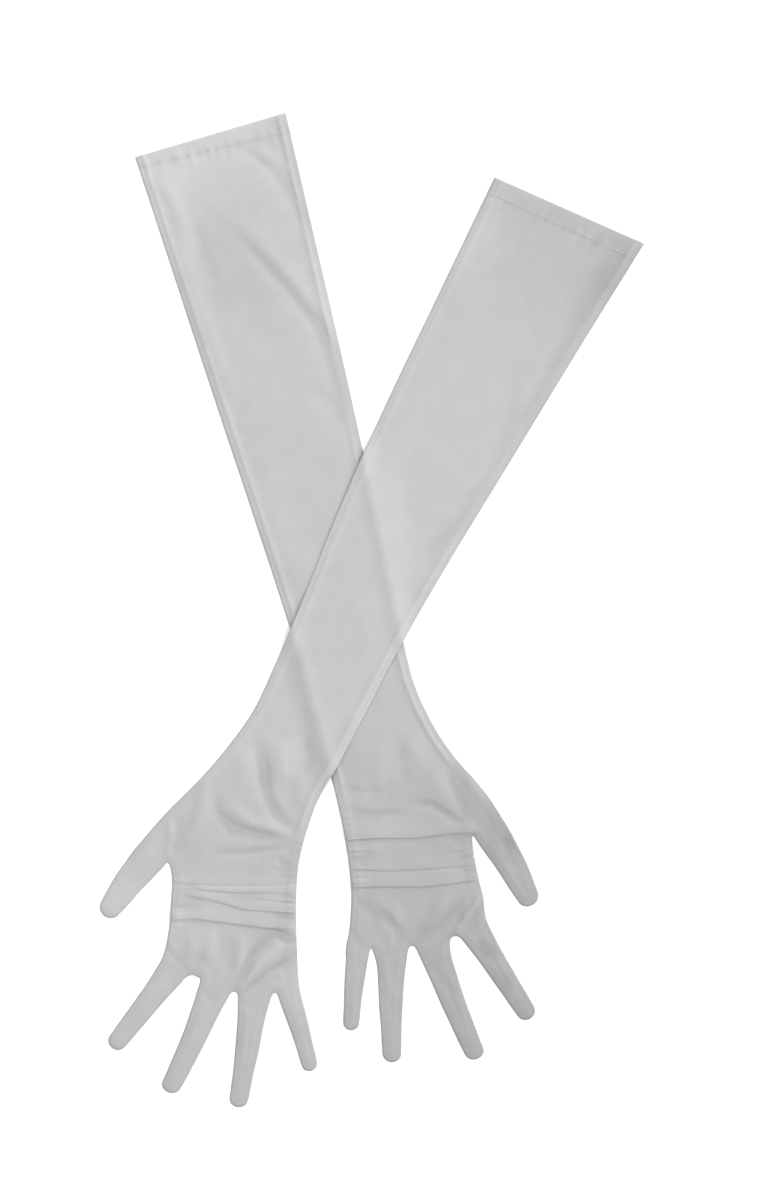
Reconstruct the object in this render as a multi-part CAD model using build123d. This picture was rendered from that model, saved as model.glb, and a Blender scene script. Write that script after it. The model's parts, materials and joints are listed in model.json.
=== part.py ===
from build123d import *

import math
import os
from dataclasses import dataclass

# A pair of long sheer opera gloves, empty and lying flat on a table, crossed,
# the right glove over the left. +Z is up and the table is z = 0. All sizes are mm.
#
# Each glove has its own flat frame: v runs along the arm from the wrist line
# towards the cuff, and u runs across it towards the thumb. The hand has a second
# frame, turned about the middle of the wrist line by the way the hand is laid.
# The palm side of the cloth faces up and the back of the hand faces down.

# Cloth, and how an empty tube of it lies
cloth = 0.5
tube_thick = 6.6
finger_thick = 4.6
edge_round = 2.4 * cloth

# Clear gaps: at a fold between two moving parts, between the two gloves where
# they cross, between pieces that only lie together, and beside a finger's root
fold_gap = 0.6
lay_gap = 0.4
fit_gap = 0.05
root_gap = 0.8

# Side seams: both raw edges, turned inside, and the band along the hand
seam_thick = 0.6
sleeve_seam_width = 5.0
hand_seam_width = 3.0

# Sleeve: lengths along the arm, and flat widths from the heel of the hand up
forearm_length = 250.0
upper_length = 158.0
heel_width = 74.5
flare_width = 66.5
neck_width = 62.5
forearm_width = 66.5
elbow_width = 82.3
cuff_width = 97.0
flare_share = 0.08
neck_share = 0.26
forearm_share = 0.48

# Cuff hem and the two stitch rows that hold it
hem_depth = 12.0
stitch_width = 1.2
stitch_thick = 0.35
stitch_spacing = 3.0

# Gathering elastic sewn along each side of the hand
elastic_width = 1.6
elastic_thick = 0.5
elastic_inset = 1.0

# Fingers: flat width at the root, length from the root, and radius of the tip
finger_names = ["little_finger", "ring_finger", "middle_finger", "index_finger", "thumb"]
root_width = {
    "little_finger": 15.4,
    "ring_finger": 24.8,
    "middle_finger": 27.0,
    "index_finger": 22.0,
    "thumb": 21.0,
}
finger_length = {
    "little_finger": 51.0,
    "ring_finger": 70.5,
    "middle_finger": 74.5,
    "index_finger": 65.5,
    "thumb": 52.0,
}
finger_width = {
    "little_finger": 13.8,
    "ring_finger": 18.4,
    "middle_finger": 18.8,
    "index_finger": 17.6,
    "thumb": 19.6,
}
tip_radius = {
    "little_finger": 4.9,
    "ring_finger": 5.8,
    "middle_finger": 6.0,
    "index_finger": 5.8,
    "thumb": 6.3,
}

# The side of the hand where the gathering starts, on the little finger's side
gather_start = 24.0
gather_half_width = 29.3
gather_thumb_u = 47.6


@dataclass
class Glove:
    """One glove and how it is laid.

    side is 1 for the left glove and -1 for the right, its mirror image. lean is the
    sleeve's angle from +Y in degrees and cross_at is the distance from its wrist
    line to the crossing. sway gives the sleeve's middle line at its six stations.
    turn is the hand's angle to the sleeve. little_root is the outer end of the
    little finger's root line and thumb_crotch the inner end of the thumb's, both in
    the hand frame. Root and finger angles are from the hand's length, towards the
    thumb.
    """

    name: str
    side: int
    lean: float
    cross_at: float
    sway: tuple
    turn: float
    little_root: tuple
    thumb_crotch: tuple
    gather_end: float
    thumb_hollow: tuple
    root_angle: dict
    finger_angle: dict


left = Glove(
    name="left",
    side=1,
    lean=-15.6,
    cross_at=88.7,
    sway=(7.4, 4.2, 1.9, 2.8, 3.6, 4.3),
    turn=6.5,
    little_root=(-39.2, -98.1),
    thumb_crotch=(48.1, -42.9),
    gather_end=64.0,
    thumb_hollow=(58.5, -15.5),
    root_angle={
        "little_finger": -11.0,
        "ring_finger": -5.0,
        "middle_finger": 3.5,
        "index_finger": 21.0,
        "thumb": 20.3,
    },
    finger_angle={
        "little_finger": -14.0,
        "ring_finger": -9.1,
        "middle_finger": 10.1,
        "index_finger": 22.7,
        "thumb": 18.9,
    },
)

right = Glove(
    name="right",
    side=-1,
    lean=27.7,
    cross_at=115.1,
    sway=(2.0, 1.0, -1.3, 0.8, 2.8, 0.3),
    turn=23.0,
    little_root=(-34.5, -106.7),
    thumb_crotch=(51.3, -39.1),
    gather_end=81.0,
    thumb_hollow=(53.5, -6.5),
    root_angle={
        "little_finger": -23.0,
        "ring_finger": -3.0,
        "middle_finger": 17.0,
        "index_finger": 27.0,
        "thumb": 35.6,
    },
    finger_angle={
        "little_finger": -20.7,
        "ring_finger": 3.5,
        "middle_finger": 16.7,
        "index_finger": 32.4,
        "thumb": 31.4,
    },
)


# Frames


def along(glove):
    """The sleeve's direction on the table, towards the cuff."""
    return Vector(math.sin(math.radians(glove.lean)), math.cos(math.radians(glove.lean)))


def across(glove):
    """The direction across the sleeve, towards the thumb."""
    turned = along(glove)
    return Vector(turned.Y, -turned.X) * glove.side


def on_table(glove, u, v):
    """A point of the sleeve's frame on the table, with the crossing at the centre."""
    return across(glove) * u + along(glove) * (v - glove.cross_at)


def hand_to_sleeve(glove, u, v):
    """A point of the hand's frame in the sleeve's frame."""
    turn = math.radians(glove.turn)
    return (
        u * math.cos(turn) + v * math.sin(turn),
        -u * math.sin(turn) + v * math.cos(turn),
    )


def hand_point(glove, u, v):
    """A point of the hand's frame on the table."""
    return on_table(glove, *hand_to_sleeve(glove, u, v))


def hand_direction(glove, angle):
    """The direction on the table of a finger at an angle to the hand's length."""
    lean = math.radians(angle)
    return hand_point(glove, math.sin(lean), -math.cos(lean)) - hand_point(glove, 0, 0)


# Sleeve


def station_places():
    """Where the sleeve's six stations lie along the arm."""
    shares = [0, flare_share, neck_share, forearm_share, 1]
    return [share * forearm_length for share in shares] + [forearm_length + upper_length]


def between(place, places, values):
    """The value at a place, straight between the stations on each side of it."""
    for near, far, low, high in zip(places, places[1:], values, values[1:]):
        if place <= far:
            return low + (high - low) * (place - near) / (far - near)
    return values[-1]


def half_width(v):
    widths = [heel_width, flare_width, neck_width, forearm_width, elbow_width, cuff_width]
    return between(v, station_places(), widths) / 2


def middle(glove, v):
    return between(v, station_places(), glove.sway)


def to_sleeve(glove, point):
    """A point on the table in the sleeve's frame."""
    return point.dot(across(glove)), point.dot(along(glove)) + glove.cross_at


def covers(glove, u, v):
    """Whether the sleeve covers a point of its own frame."""
    inside = 0 <= v <= forearm_length + upper_length
    return inside and abs(u - middle(glove, v)) <= half_width(v)


def crossing_span():
    """The nearest and farthest place along the right sleeve that the left one meets."""
    step = 1.0
    met = []
    for count in range(int((forearm_length + upper_length) / step)):
        v = count * step
        for edge in (-1, 1):
            left_point = on_table(left, middle(left, v) + edge * half_width(v), v)
            if covers(right, *to_sleeve(right, left_point)):
                met.append(to_sleeve(right, left_point)[1])
            right_point = on_table(right, middle(right, v) + edge * half_width(v), v)
            if covers(left, *to_sleeve(left, right_point)):
                met.append(v)
    return min(met) - step, max(met) + step


raised_from, raised_to = crossing_span()
raise_height = tube_thick + lay_gap


def floor_height(glove, v):
    """How high the sleeve's underside lies: the right one climbs over the left."""
    if glove is left:
        return 0.0
    places = [0, raised_from, raised_to, forearm_length]
    return between(v, places, [0, raise_height, raise_height, 0])


def section_plane(glove, v):
    """The plane across the sleeve, its y axis up, at mid height of the tube."""
    origin = on_table(glove, middle(glove, v), v)
    height = floor_height(glove, v) + tube_thick / 2
    return Plane(
        origin=(origin.X, origin.Y, height),
        x_dir=across(glove),
        z_dir=along(glove) * -glove.side,
    )


def half_ring(glove, v, up):
    """Half of the tube's wall in section: up is 1 for the palm side, -1 for the back."""
    low, high = up * seam_thick / 2, up * tube_thick / 2
    reach = half_width(v)
    outer = [(-reach, low), (-reach, high), (reach, high), (reach, low)]
    inner = [(x - math.copysign(cloth, x), y) for x, y in reversed(outer)]
    inner[1], inner[2] = [(x, high - up * cloth) for x, y in inner[1:3]]
    return section_plane(glove, v) * make_face(Polyline(*outer, *inner, close=True))


def seam_section(glove, v, sign):
    """A side seam in section: sign is 1 at the thumb's side of the sleeve."""
    place = sign * (half_width(v) - sleeve_seam_width / 2)
    return section_plane(glove, v) * Pos(place, 0) * Rectangle(sleeve_seam_width, seam_thick)


def stations(glove, start, end):
    """The places along the sleeve that a run from start to end needs a section at."""
    bends = station_places()
    if glove is right:
        bends += [raised_from, raised_to]
    return [start] + sorted(v for v in bends if start < v < end) + [end]


def run(glove, start, end, section):
    """A straight-sided solid through the sections of one stretch of sleeve."""
    return loft([section(v) for v in stations(glove, start, end)], ruled=True)


def raised_sleeve(glove, name, start, end):
    """A stretch of sleeve that climbs over the other glove: two panels, two seams."""
    return {
        f"{name}_palm_panel": run(glove, start, end, lambda v: half_ring(glove, v, 1)),
        f"{name}_back_panel": run(glove, start, end, lambda v: half_ring(glove, v, -1)),
        f"{name}_little_seam": run(glove, start, end, lambda v: seam_section(glove, v, -1)),
        f"{name}_thumb_seam": run(glove, start, end, lambda v: seam_section(glove, v, 1)),
    }


# Flat stretches


def raised(face, low, high):
    """A flat face made solid between two heights."""
    return extrude(Pos(0, 0, low) * face, amount=high - low, dir=(0, 0, 1))


def flat_panels(name, outline, wall, inset):
    """The palm and back panels of a flat tube, that far inside the outer cloth."""
    mid = tube_thick / 2
    low, high = inset, tube_thick - inset
    palm = raised(outline, high - cloth, high)
    palm += raised(wall, mid + seam_thick / 2, high - cloth)
    back = raised(outline, low, low + cloth)
    back += raised(wall, low + cloth, mid - seam_thick / 2)
    return {f"{name}_palm_panel": palm, f"{name}_back_panel": back}


def flat_seam(band):
    """The seam between a flat tube's two panels, over a band along its edges."""
    return raised(band, (tube_thick - seam_thick) / 2, (tube_thick + seam_thick) / 2)


def sleeve_edge(glove, v, inset):
    """The sleeve's two edge points at a place, little finger's side first."""
    reach = half_width(v) - inset
    return tuple(on_table(glove, middle(glove, v) + sign * reach, v) for sign in (-1, 1))


def sleeve_outline(glove, start, end, inset):
    """A stretch of sleeve as seen from above, that far inside its edges."""
    edges = [sleeve_edge(glove, v, inset) for v in stations(glove, start, end)]
    points = [little for little, thumb in edges] + [thumb for little, thumb in reversed(edges)]
    return make_face(Polyline(*points, close=True))


def sleeve_band(glove, start, end, inset, width):
    """The two bands along a stretch of sleeve's edges."""
    outside = sleeve_outline(glove, start, end, inset)
    return outside - sleeve_outline(glove, start, end, inset + width)


def flat_sleeve(glove, name, start, end):
    """A stretch of sleeve that lies on the table: two panels, two seams."""
    outline = sleeve_outline(glove, start, end, 0)
    parts = flat_panels(name, outline, sleeve_band(glove, start, end, 0, cloth), 0)
    seams = flat_seam(sleeve_band(glove, start, end, 0, sleeve_seam_width)).solids()
    seams = seams.sort_by(lambda seam: seam.center().dot(across(glove)))
    parts[f"{name}_little_seam"], parts[f"{name}_thumb_seam"] = seams
    return parts


def cuff_hem(glove):
    """The hem turned inside the mouth of the sleeve, its palm and back halves."""
    mouth = forearm_length + upper_length
    start = mouth - hem_depth
    inset = cloth + fit_gap
    outline = sleeve_outline(glove, start, mouth, inset)
    halves = flat_panels("hem", outline, sleeve_band(glove, start, mouth, inset, cloth), inset)
    return Compound(children=list(halves.values()))


def hem_stitches(glove):
    """The rows of stitches on the sleeve's inside, just past the hem's raw edge."""
    rows = []
    edge = forearm_length + upper_length - hem_depth - fit_gap
    length = 2 * (half_width(edge) - tube_thick)
    level = (tube_thick - stitch_thick) / 2 - cloth - fit_gap
    for row in range(2):
        v = edge - stitch_width / 2 - row * stitch_spacing
        for up in (1, -1):
            stitch = section_plane(glove, v) * Pos(0, up * level, 0)
            rows.append(stitch * Box(length, stitch_thick, stitch_width))
    return Compound(children=rows)


# Hand


def root_lines(glove):
    """Each finger's root line as its two ends, from the little finger's side."""
    lines = {}
    u, v = glove.little_root
    for name in finger_names:
        if name == "thumb":
            u, v = glove.thumb_crotch
        angle = math.radians(glove.root_angle[name])
        next_u = u + root_width[name] * math.cos(angle)
        next_v = v + root_width[name] * math.sin(angle)
        lines[name] = (hand_point(glove, u, v), hand_point(glove, next_u, next_v))
        u, v = next_u, next_v
    return lines


def wrist_ends(glove):
    """The hand's end of the wrist line, on the little finger's and the thumb's side."""
    v = -fold_gap / 2
    return [on_table(glove, middle(glove, 0) + sign * half_width(0), v) for sign in (-1, 1)]


def gather_lines(glove):
    """The two gathered stretches of the hand's sides, each from the wrist outwards."""
    roots = root_lines(glove)
    little = (
        hand_point(glove, -gather_half_width, -gather_start),
        hand_point(glove, -gather_half_width, -glove.gather_end),
    )
    thumb = (roots["thumb"][0], hand_point(glove, gather_thumb_u, -glove.gather_end))
    return {"little": little, "thumb": thumb}


def hand_outline(glove):
    """The hand from the wrist line to the roots of the fingers, as seen from above."""
    roots = root_lines(glove)
    gathers = gather_lines(glove)
    little_end, thumb_end = wrist_ends(glove)
    points = [little_end, *gathers["little"]]
    points += [roots[name][0] for name in finger_names[:4]]
    points += [roots["index_finger"][1], gathers["thumb"][1], roots["thumb"][0]]
    points += [roots["thumb"][1], hand_point(glove, *glove.thumb_hollow), thumb_end]
    return make_face(Polyline(*points, close=True))


def edge_cut(start, end, keep, depth):
    """A strip over an open edge of the hand, short of its ends by what is kept."""
    length = (end - start).length - 2 * keep
    centre = (start + end) / 2
    turn = math.degrees(math.atan2(end.Y - start.Y, end.X - start.X))
    return Pos(centre.X, centre.Y) * Rot(0, 0, turn) * Rectangle(length, 2 * depth)


def hand_band(glove, width):
    """The band along the hand's closed edges, open at the wrist and the finger roots."""
    outline = hand_outline(glove)
    band = outline - offset(outline, amount=-width, kind=Kind.INTERSECTION)
    for start, end in [tuple(wrist_ends(glove)), *root_lines(glove).values()]:
        band -= edge_cut(start, end, width, width + fold_gap)
    return band


def hand_parts(glove):
    """The hand's two panels, the seam between them and the elastics on the seam."""
    name = f"{glove.name}_hand"
    parts = flat_panels(name, hand_outline(glove), hand_band(glove, cloth), 0)
    parts[f"{name}_seam"] = flat_seam(hand_band(glove, hand_seam_width))
    seam_high = (tube_thick + seam_thick) / 2
    inward = {"little": 1, "thumb": -1}
    for side, (start, end) in gather_lines(glove).items():
        inside = hand_point(glove, inward[side], 0) - hand_point(glove, 0, 0)
        centre = (start + end) / 2 + inside * (elastic_inset + elastic_width / 2)
        turn = math.degrees(math.atan2(end.Y - start.Y, end.X - start.X))
        length = (end - start).length
        strip = Pos(centre.X, centre.Y) * Rot(0, 0, turn) * Rectangle(length, elastic_width)
        parts[f"{name}_{side}_elastic"] = raised(strip, seam_high, seam_high + elastic_thick)
    return parts


# Fingers


def finger_outline(glove, name, inset):
    """A finger from its root to its round tip, or its hollow when it has an inset."""
    start, end = root_lines(glove)[name]
    line = (end - start).normalized()
    out = hand_direction(glove, glove.root_angle[name])
    heading = hand_direction(glove, glove.finger_angle[name])
    beside = Vector(-heading.Y, heading.X)
    if beside.dot(line) < 0:
        beside = -beside
    centre = (start + end) / 2
    base = centre + out * (fold_gap - (fold_gap if inset else 0))
    half_root = min(finger_width[name] / 2, root_width[name] / 2 - root_gap) - inset
    radius = tip_radius[name] - inset
    tip = centre + heading * (finger_length[name] - tip_radius[name])
    sides = Polyline(
        tip - beside * radius,
        base - line * half_root,
        base + line * half_root,
        tip + beside * radius,
    )
    end_cap = ThreePointArc(
        tip + beside * radius,
        tip + heading * radius,
        tip - beside * radius,
    )
    return make_face([*sides.edges(), *end_cap.edges()])


def finger(glove, name):
    """A flattened finger, closed at the tip and open at the root."""
    outer = raised(finger_outline(glove, name, 0), 0, finger_thick)
    start, end = root_lines(glove)[name]
    out = hand_direction(glove, glove.root_angle[name])
    past_root = (start + end).dot(out) / 2 + 2 * fold_gap
    level_edges = outer.edges().filter_by(lambda edge: edge.bounding_box().size.Z < fit_gap)
    level_edges = level_edges.filter_by(lambda edge: edge.center().dot(out) > past_root)
    outer = fillet(level_edges, radius=edge_round)
    return outer - raised(finger_outline(glove, name, cloth), cloth, finger_thick - cloth)


# The pair


def glove_parts(glove):
    """Every piece of one glove, by name."""
    half_gap = fold_gap / 2
    mouth = forearm_length + upper_length
    upper_name, forearm_name = f"{glove.name}_upper_sleeve", f"{glove.name}_forearm"
    lay_forearm = raised_sleeve if glove is right else flat_sleeve
    parts = flat_sleeve(glove, upper_name, forearm_length + half_gap, mouth)
    parts.update(lay_forearm(glove, forearm_name, half_gap, forearm_length - half_gap))
    parts[f"{glove.name}_cuff_hem"] = cuff_hem(glove)
    parts[f"{glove.name}_hem_stitches"] = hem_stitches(glove)
    parts.update(hand_parts(glove))
    for name in finger_names:
        parts[f"{glove.name}_{name}"] = finger(glove, name)
    return parts


pair = {**glove_parts(left), **glove_parts(right)}
box = Compound(children=[Compound(part.wrapped) for part in pair.values()]).bounding_box()
# The origin is the middle of the pair's footprint, on the table
origin_shift = Vector(-(box.min.X + box.max.X) / 2, -(box.min.Y + box.max.Y) / 2, 0)

os.makedirs("parts", exist_ok=True)
for node, part in pair.items():
    export_step(part.moved(Location(origin_shift)), f"parts/{node}.step")
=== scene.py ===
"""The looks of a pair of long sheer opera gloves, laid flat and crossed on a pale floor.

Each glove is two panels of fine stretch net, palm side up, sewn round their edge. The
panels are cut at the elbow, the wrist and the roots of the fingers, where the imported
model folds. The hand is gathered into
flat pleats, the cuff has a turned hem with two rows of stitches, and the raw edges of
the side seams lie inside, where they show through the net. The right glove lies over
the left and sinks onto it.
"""

import json
import logging
import math
from dataclasses import dataclass, field
from enum import Enum

import bpy
import numpy as np
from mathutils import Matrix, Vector
from mathutils.geometry import delaunay_2d_cdt


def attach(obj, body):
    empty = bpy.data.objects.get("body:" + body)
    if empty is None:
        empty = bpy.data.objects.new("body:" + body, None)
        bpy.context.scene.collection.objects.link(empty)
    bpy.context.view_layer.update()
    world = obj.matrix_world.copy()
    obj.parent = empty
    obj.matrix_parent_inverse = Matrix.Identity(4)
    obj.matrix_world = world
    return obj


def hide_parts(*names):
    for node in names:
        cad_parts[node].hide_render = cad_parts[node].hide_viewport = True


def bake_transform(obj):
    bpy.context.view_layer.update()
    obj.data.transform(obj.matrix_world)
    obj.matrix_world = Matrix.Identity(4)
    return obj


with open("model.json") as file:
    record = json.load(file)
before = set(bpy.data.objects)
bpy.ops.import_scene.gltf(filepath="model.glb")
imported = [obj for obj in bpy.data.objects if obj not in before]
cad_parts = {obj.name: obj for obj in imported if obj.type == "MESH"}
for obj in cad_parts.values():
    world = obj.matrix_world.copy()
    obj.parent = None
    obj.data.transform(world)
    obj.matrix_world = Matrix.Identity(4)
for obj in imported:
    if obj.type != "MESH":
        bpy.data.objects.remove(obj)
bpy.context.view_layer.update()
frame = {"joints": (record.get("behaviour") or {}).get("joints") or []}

log = logging.getLogger("opera_gloves")

MM = 0.001
Point = tuple[float, float]

# How the cloth lies, in millimetres
EDGE_ROLL = 2.1  # how far in from the sewn edge the palm panel curves up
OVER_ROLL = 1.7  # how much further it curves where it lies on the other glove
BACK_REST = 0.15  # the back panel's height over what it lies on
OVER_GAP = 0.15  # the gap between the lower glove and the one on it
CLIMB = 2.1  # how far the upper glove rises before it meets the lower one
EDGE_RIDGE = 0.9  # how far the lower glove's edge stands out through the upper one
EDGE_FILL = 0.95  # how far apart the two panels lie at their edge
MIDDLE_FILL = 0.8  # how much further apart they lie in the middle
SEAM_RIDGE = 0.75  # how far the seam allowance's inner edge stands out
CREASE_GAIN = 1.35  # what every crease's height is multiplied by
RIPPLE = 0.42  # height of the gathers along the hand's edges
SEAM_SLEEVE = 5.0  # width of the turned-in edge on the sleeve
SEAM_HAND = 3.0  # its width on the hand
SEAM_FINGER = 1.6  # its width on a finger
STITCH = 1.5  # spacing of the hem's stitches

# How much darker or paler the net is coloured, where 1 is the thread's colour and 0 the palest: painted shade
# and painted highlights, and paler over the seam allowance
PAINTED_SHADE_IN_CREASE = 0.13  # painted shade in creases, for each millimetre down
PAINTED_HIGHLIGHT_ON_RIDGE = 0.05  # painted highlight on ridges, for each millimetre up
PAINTED_LIGHT_ON_PUCKER = 0.4  # painted highlight on the hem's puckers and painted shade in their dips and along the stitch line, for each millimetre up
# painted highlight just fingerwards of each pleat's folded edge
PAINTED_HIGHLIGHT_BELOW_PLEAT = 0.2
# paler over the seam allowance, which shows through doubled
PALER_OVER_SEAM = 0.05
# painted highlight along the seam allowance's inner edge
PAINTED_HIGHLIGHT_AT_SEAM_EDGE = 0.07
# painted shade on the rolled edge
PAINTED_SHADE_AT_EDGE = 0.26
# painted light that takes off the edge's painted shade, and more, where it lies on the other glove
PAINTED_LIGHT_AT_EDGE_OVER = 0.3

# How close together the points of the panels are, in millimetres
GRID_SLEEVE = 2.4
GRID_HAND = 1.4
GRID_HEM = 1.3
OUTLINE_STEP = 1.6
FINE_UP_TO = 30.0  # the sleeve is as fine as the hand this far up from the wrist
HEM_FROM = 380.0  # where the finer grid of the cuff starts
HEM_HALF = 52.0  # half the width of that grid
EDGE_ROWS = (0.35, 0.9, 1.8, 2.9, 4.0, 5.0, 6.2)  # rows along the sewn edge
PLEAT_ROWS = (-1.6, -0.8, -0.3, 0.0, 0.3, 0.8, 1.6)  # rows along each pleat

FINGERS = ("little_finger", "ring_finger", "middle_finger", "index_finger", "thumb")


class Side(Enum):
    """Which of the two edges of the sleeve or hand."""

    LITTLE = -1
    THUMB = 1


@dataclass(frozen=True)
class Crease:
    """A soft ridge or hollow in the palm panel.

    Attributes:
        path: Points along it, in its frame.
        height: Millimetres up, or down where it is negative.
        width: How far it spreads to each side, in millimetres.
    """

    path: tuple[Point, ...]
    height: float
    width: float


@dataclass(frozen=True)
class Pleat:
    """A flat pleat across the hand, its folded edge towards the fingers.

    Attributes:
        path: Points along the folded edge, in the hand's frame.
        height: How high the folded edge stands, in millimetres.
        spread: How far back towards the wrist the cloth rises to it.
    """

    path: tuple[Point, ...]
    height: float
    spread: float = 5.0


@dataclass(frozen=True)
class Patch:
    """A place painted darker than around it, as painted shade, or paler, as painted light.

    Attributes:
        middle: Its middle, in the sleeve's frame.
        reach: How far it fades out across and along the sleeve, in millimetres.
        painted_shade: How much darker it is painted, or paler where it is negative.
    """

    middle: Point
    reach: Point
    painted_shade: float


@dataclass(frozen=True)
class FingerCut:
    """How one finger is cut, the same on both gloves.

    Attributes:
        root: Width of its root line.
        widths: Flat widths at WIDTH_PLACES along its length.
        bow: How far its middle line stands towards the thumb's side, near its root,
            halfway and at its tip.
    """

    root: float
    widths: tuple[float, ...]
    bow: tuple[float, float, float]


WIDTH_PLACES = (0.14, 0.3, 0.5, 0.7, 0.85)
CUTS = {
    "little_finger": FingerCut(15.4, (13.4, 12.6, 11.4, 10.3, 10.0), (-0.4, -0.8, -0.5)),
    "ring_finger": FingerCut(24.8, (18.2, 15.9, 14.4, 12.5, 11.8), (0.0, -0.3, 0.4)),
    "middle_finger": FingerCut(27.0, (18.2, 16.3, 14.6, 13.4, 12.4), (-1.4, -0.8, 1.6)),
    "index_finger": FingerCut(22.0, (17.4, 15.3, 14.0, 12.8, 12.0), (1.0, 1.3, 1.8)),
    "thumb": FingerCut(21.0, (20.4, 19.2, 17.7, 15.9, 13.8), (0.8, 2.0, 1.8)),
}


@dataclass(frozen=True)
class Lay:
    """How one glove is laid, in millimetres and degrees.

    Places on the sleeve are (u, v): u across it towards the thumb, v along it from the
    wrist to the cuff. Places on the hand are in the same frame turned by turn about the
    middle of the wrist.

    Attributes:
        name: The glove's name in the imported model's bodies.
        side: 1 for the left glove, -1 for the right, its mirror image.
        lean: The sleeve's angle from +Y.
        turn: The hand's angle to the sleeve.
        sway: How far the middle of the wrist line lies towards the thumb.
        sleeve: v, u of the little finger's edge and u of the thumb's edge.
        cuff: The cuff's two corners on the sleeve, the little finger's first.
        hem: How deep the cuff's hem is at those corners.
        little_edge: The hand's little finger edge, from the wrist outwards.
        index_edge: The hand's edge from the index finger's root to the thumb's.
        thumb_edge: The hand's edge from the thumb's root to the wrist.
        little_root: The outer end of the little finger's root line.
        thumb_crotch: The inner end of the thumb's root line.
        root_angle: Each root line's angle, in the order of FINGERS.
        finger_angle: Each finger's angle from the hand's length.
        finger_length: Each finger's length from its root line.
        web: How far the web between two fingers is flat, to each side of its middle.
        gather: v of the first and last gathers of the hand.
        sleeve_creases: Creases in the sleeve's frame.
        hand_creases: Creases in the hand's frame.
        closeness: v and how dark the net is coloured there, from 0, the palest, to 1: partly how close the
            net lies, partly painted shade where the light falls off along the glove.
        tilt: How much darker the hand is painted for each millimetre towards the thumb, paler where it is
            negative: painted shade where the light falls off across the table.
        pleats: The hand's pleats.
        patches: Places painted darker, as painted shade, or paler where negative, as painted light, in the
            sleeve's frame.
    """

    name: str
    side: int
    lean: float
    turn: float
    sway: float
    sleeve: tuple[tuple[float, float, float], ...]
    cuff: tuple[Point, Point]
    hem: Point
    little_edge: tuple[Point, ...]
    index_edge: tuple[Point, ...]
    thumb_edge: tuple[Point, ...]
    little_root: Point
    thumb_crotch: Point
    root_angle: tuple[float, ...]
    finger_angle: tuple[float, ...]
    finger_length: tuple[float, ...]
    web: tuple[float, ...]
    gather: tuple[float, float]
    sleeve_creases: tuple[Crease, ...] = ()
    hand_creases: tuple[Crease, ...] = ()
    closeness: tuple[Point, ...] = ()
    tilt: float = 0.0
    pleats: tuple[Pleat, ...] = ()
    patches: tuple[Patch, ...] = ()


ELBOW = 250.0

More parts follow.
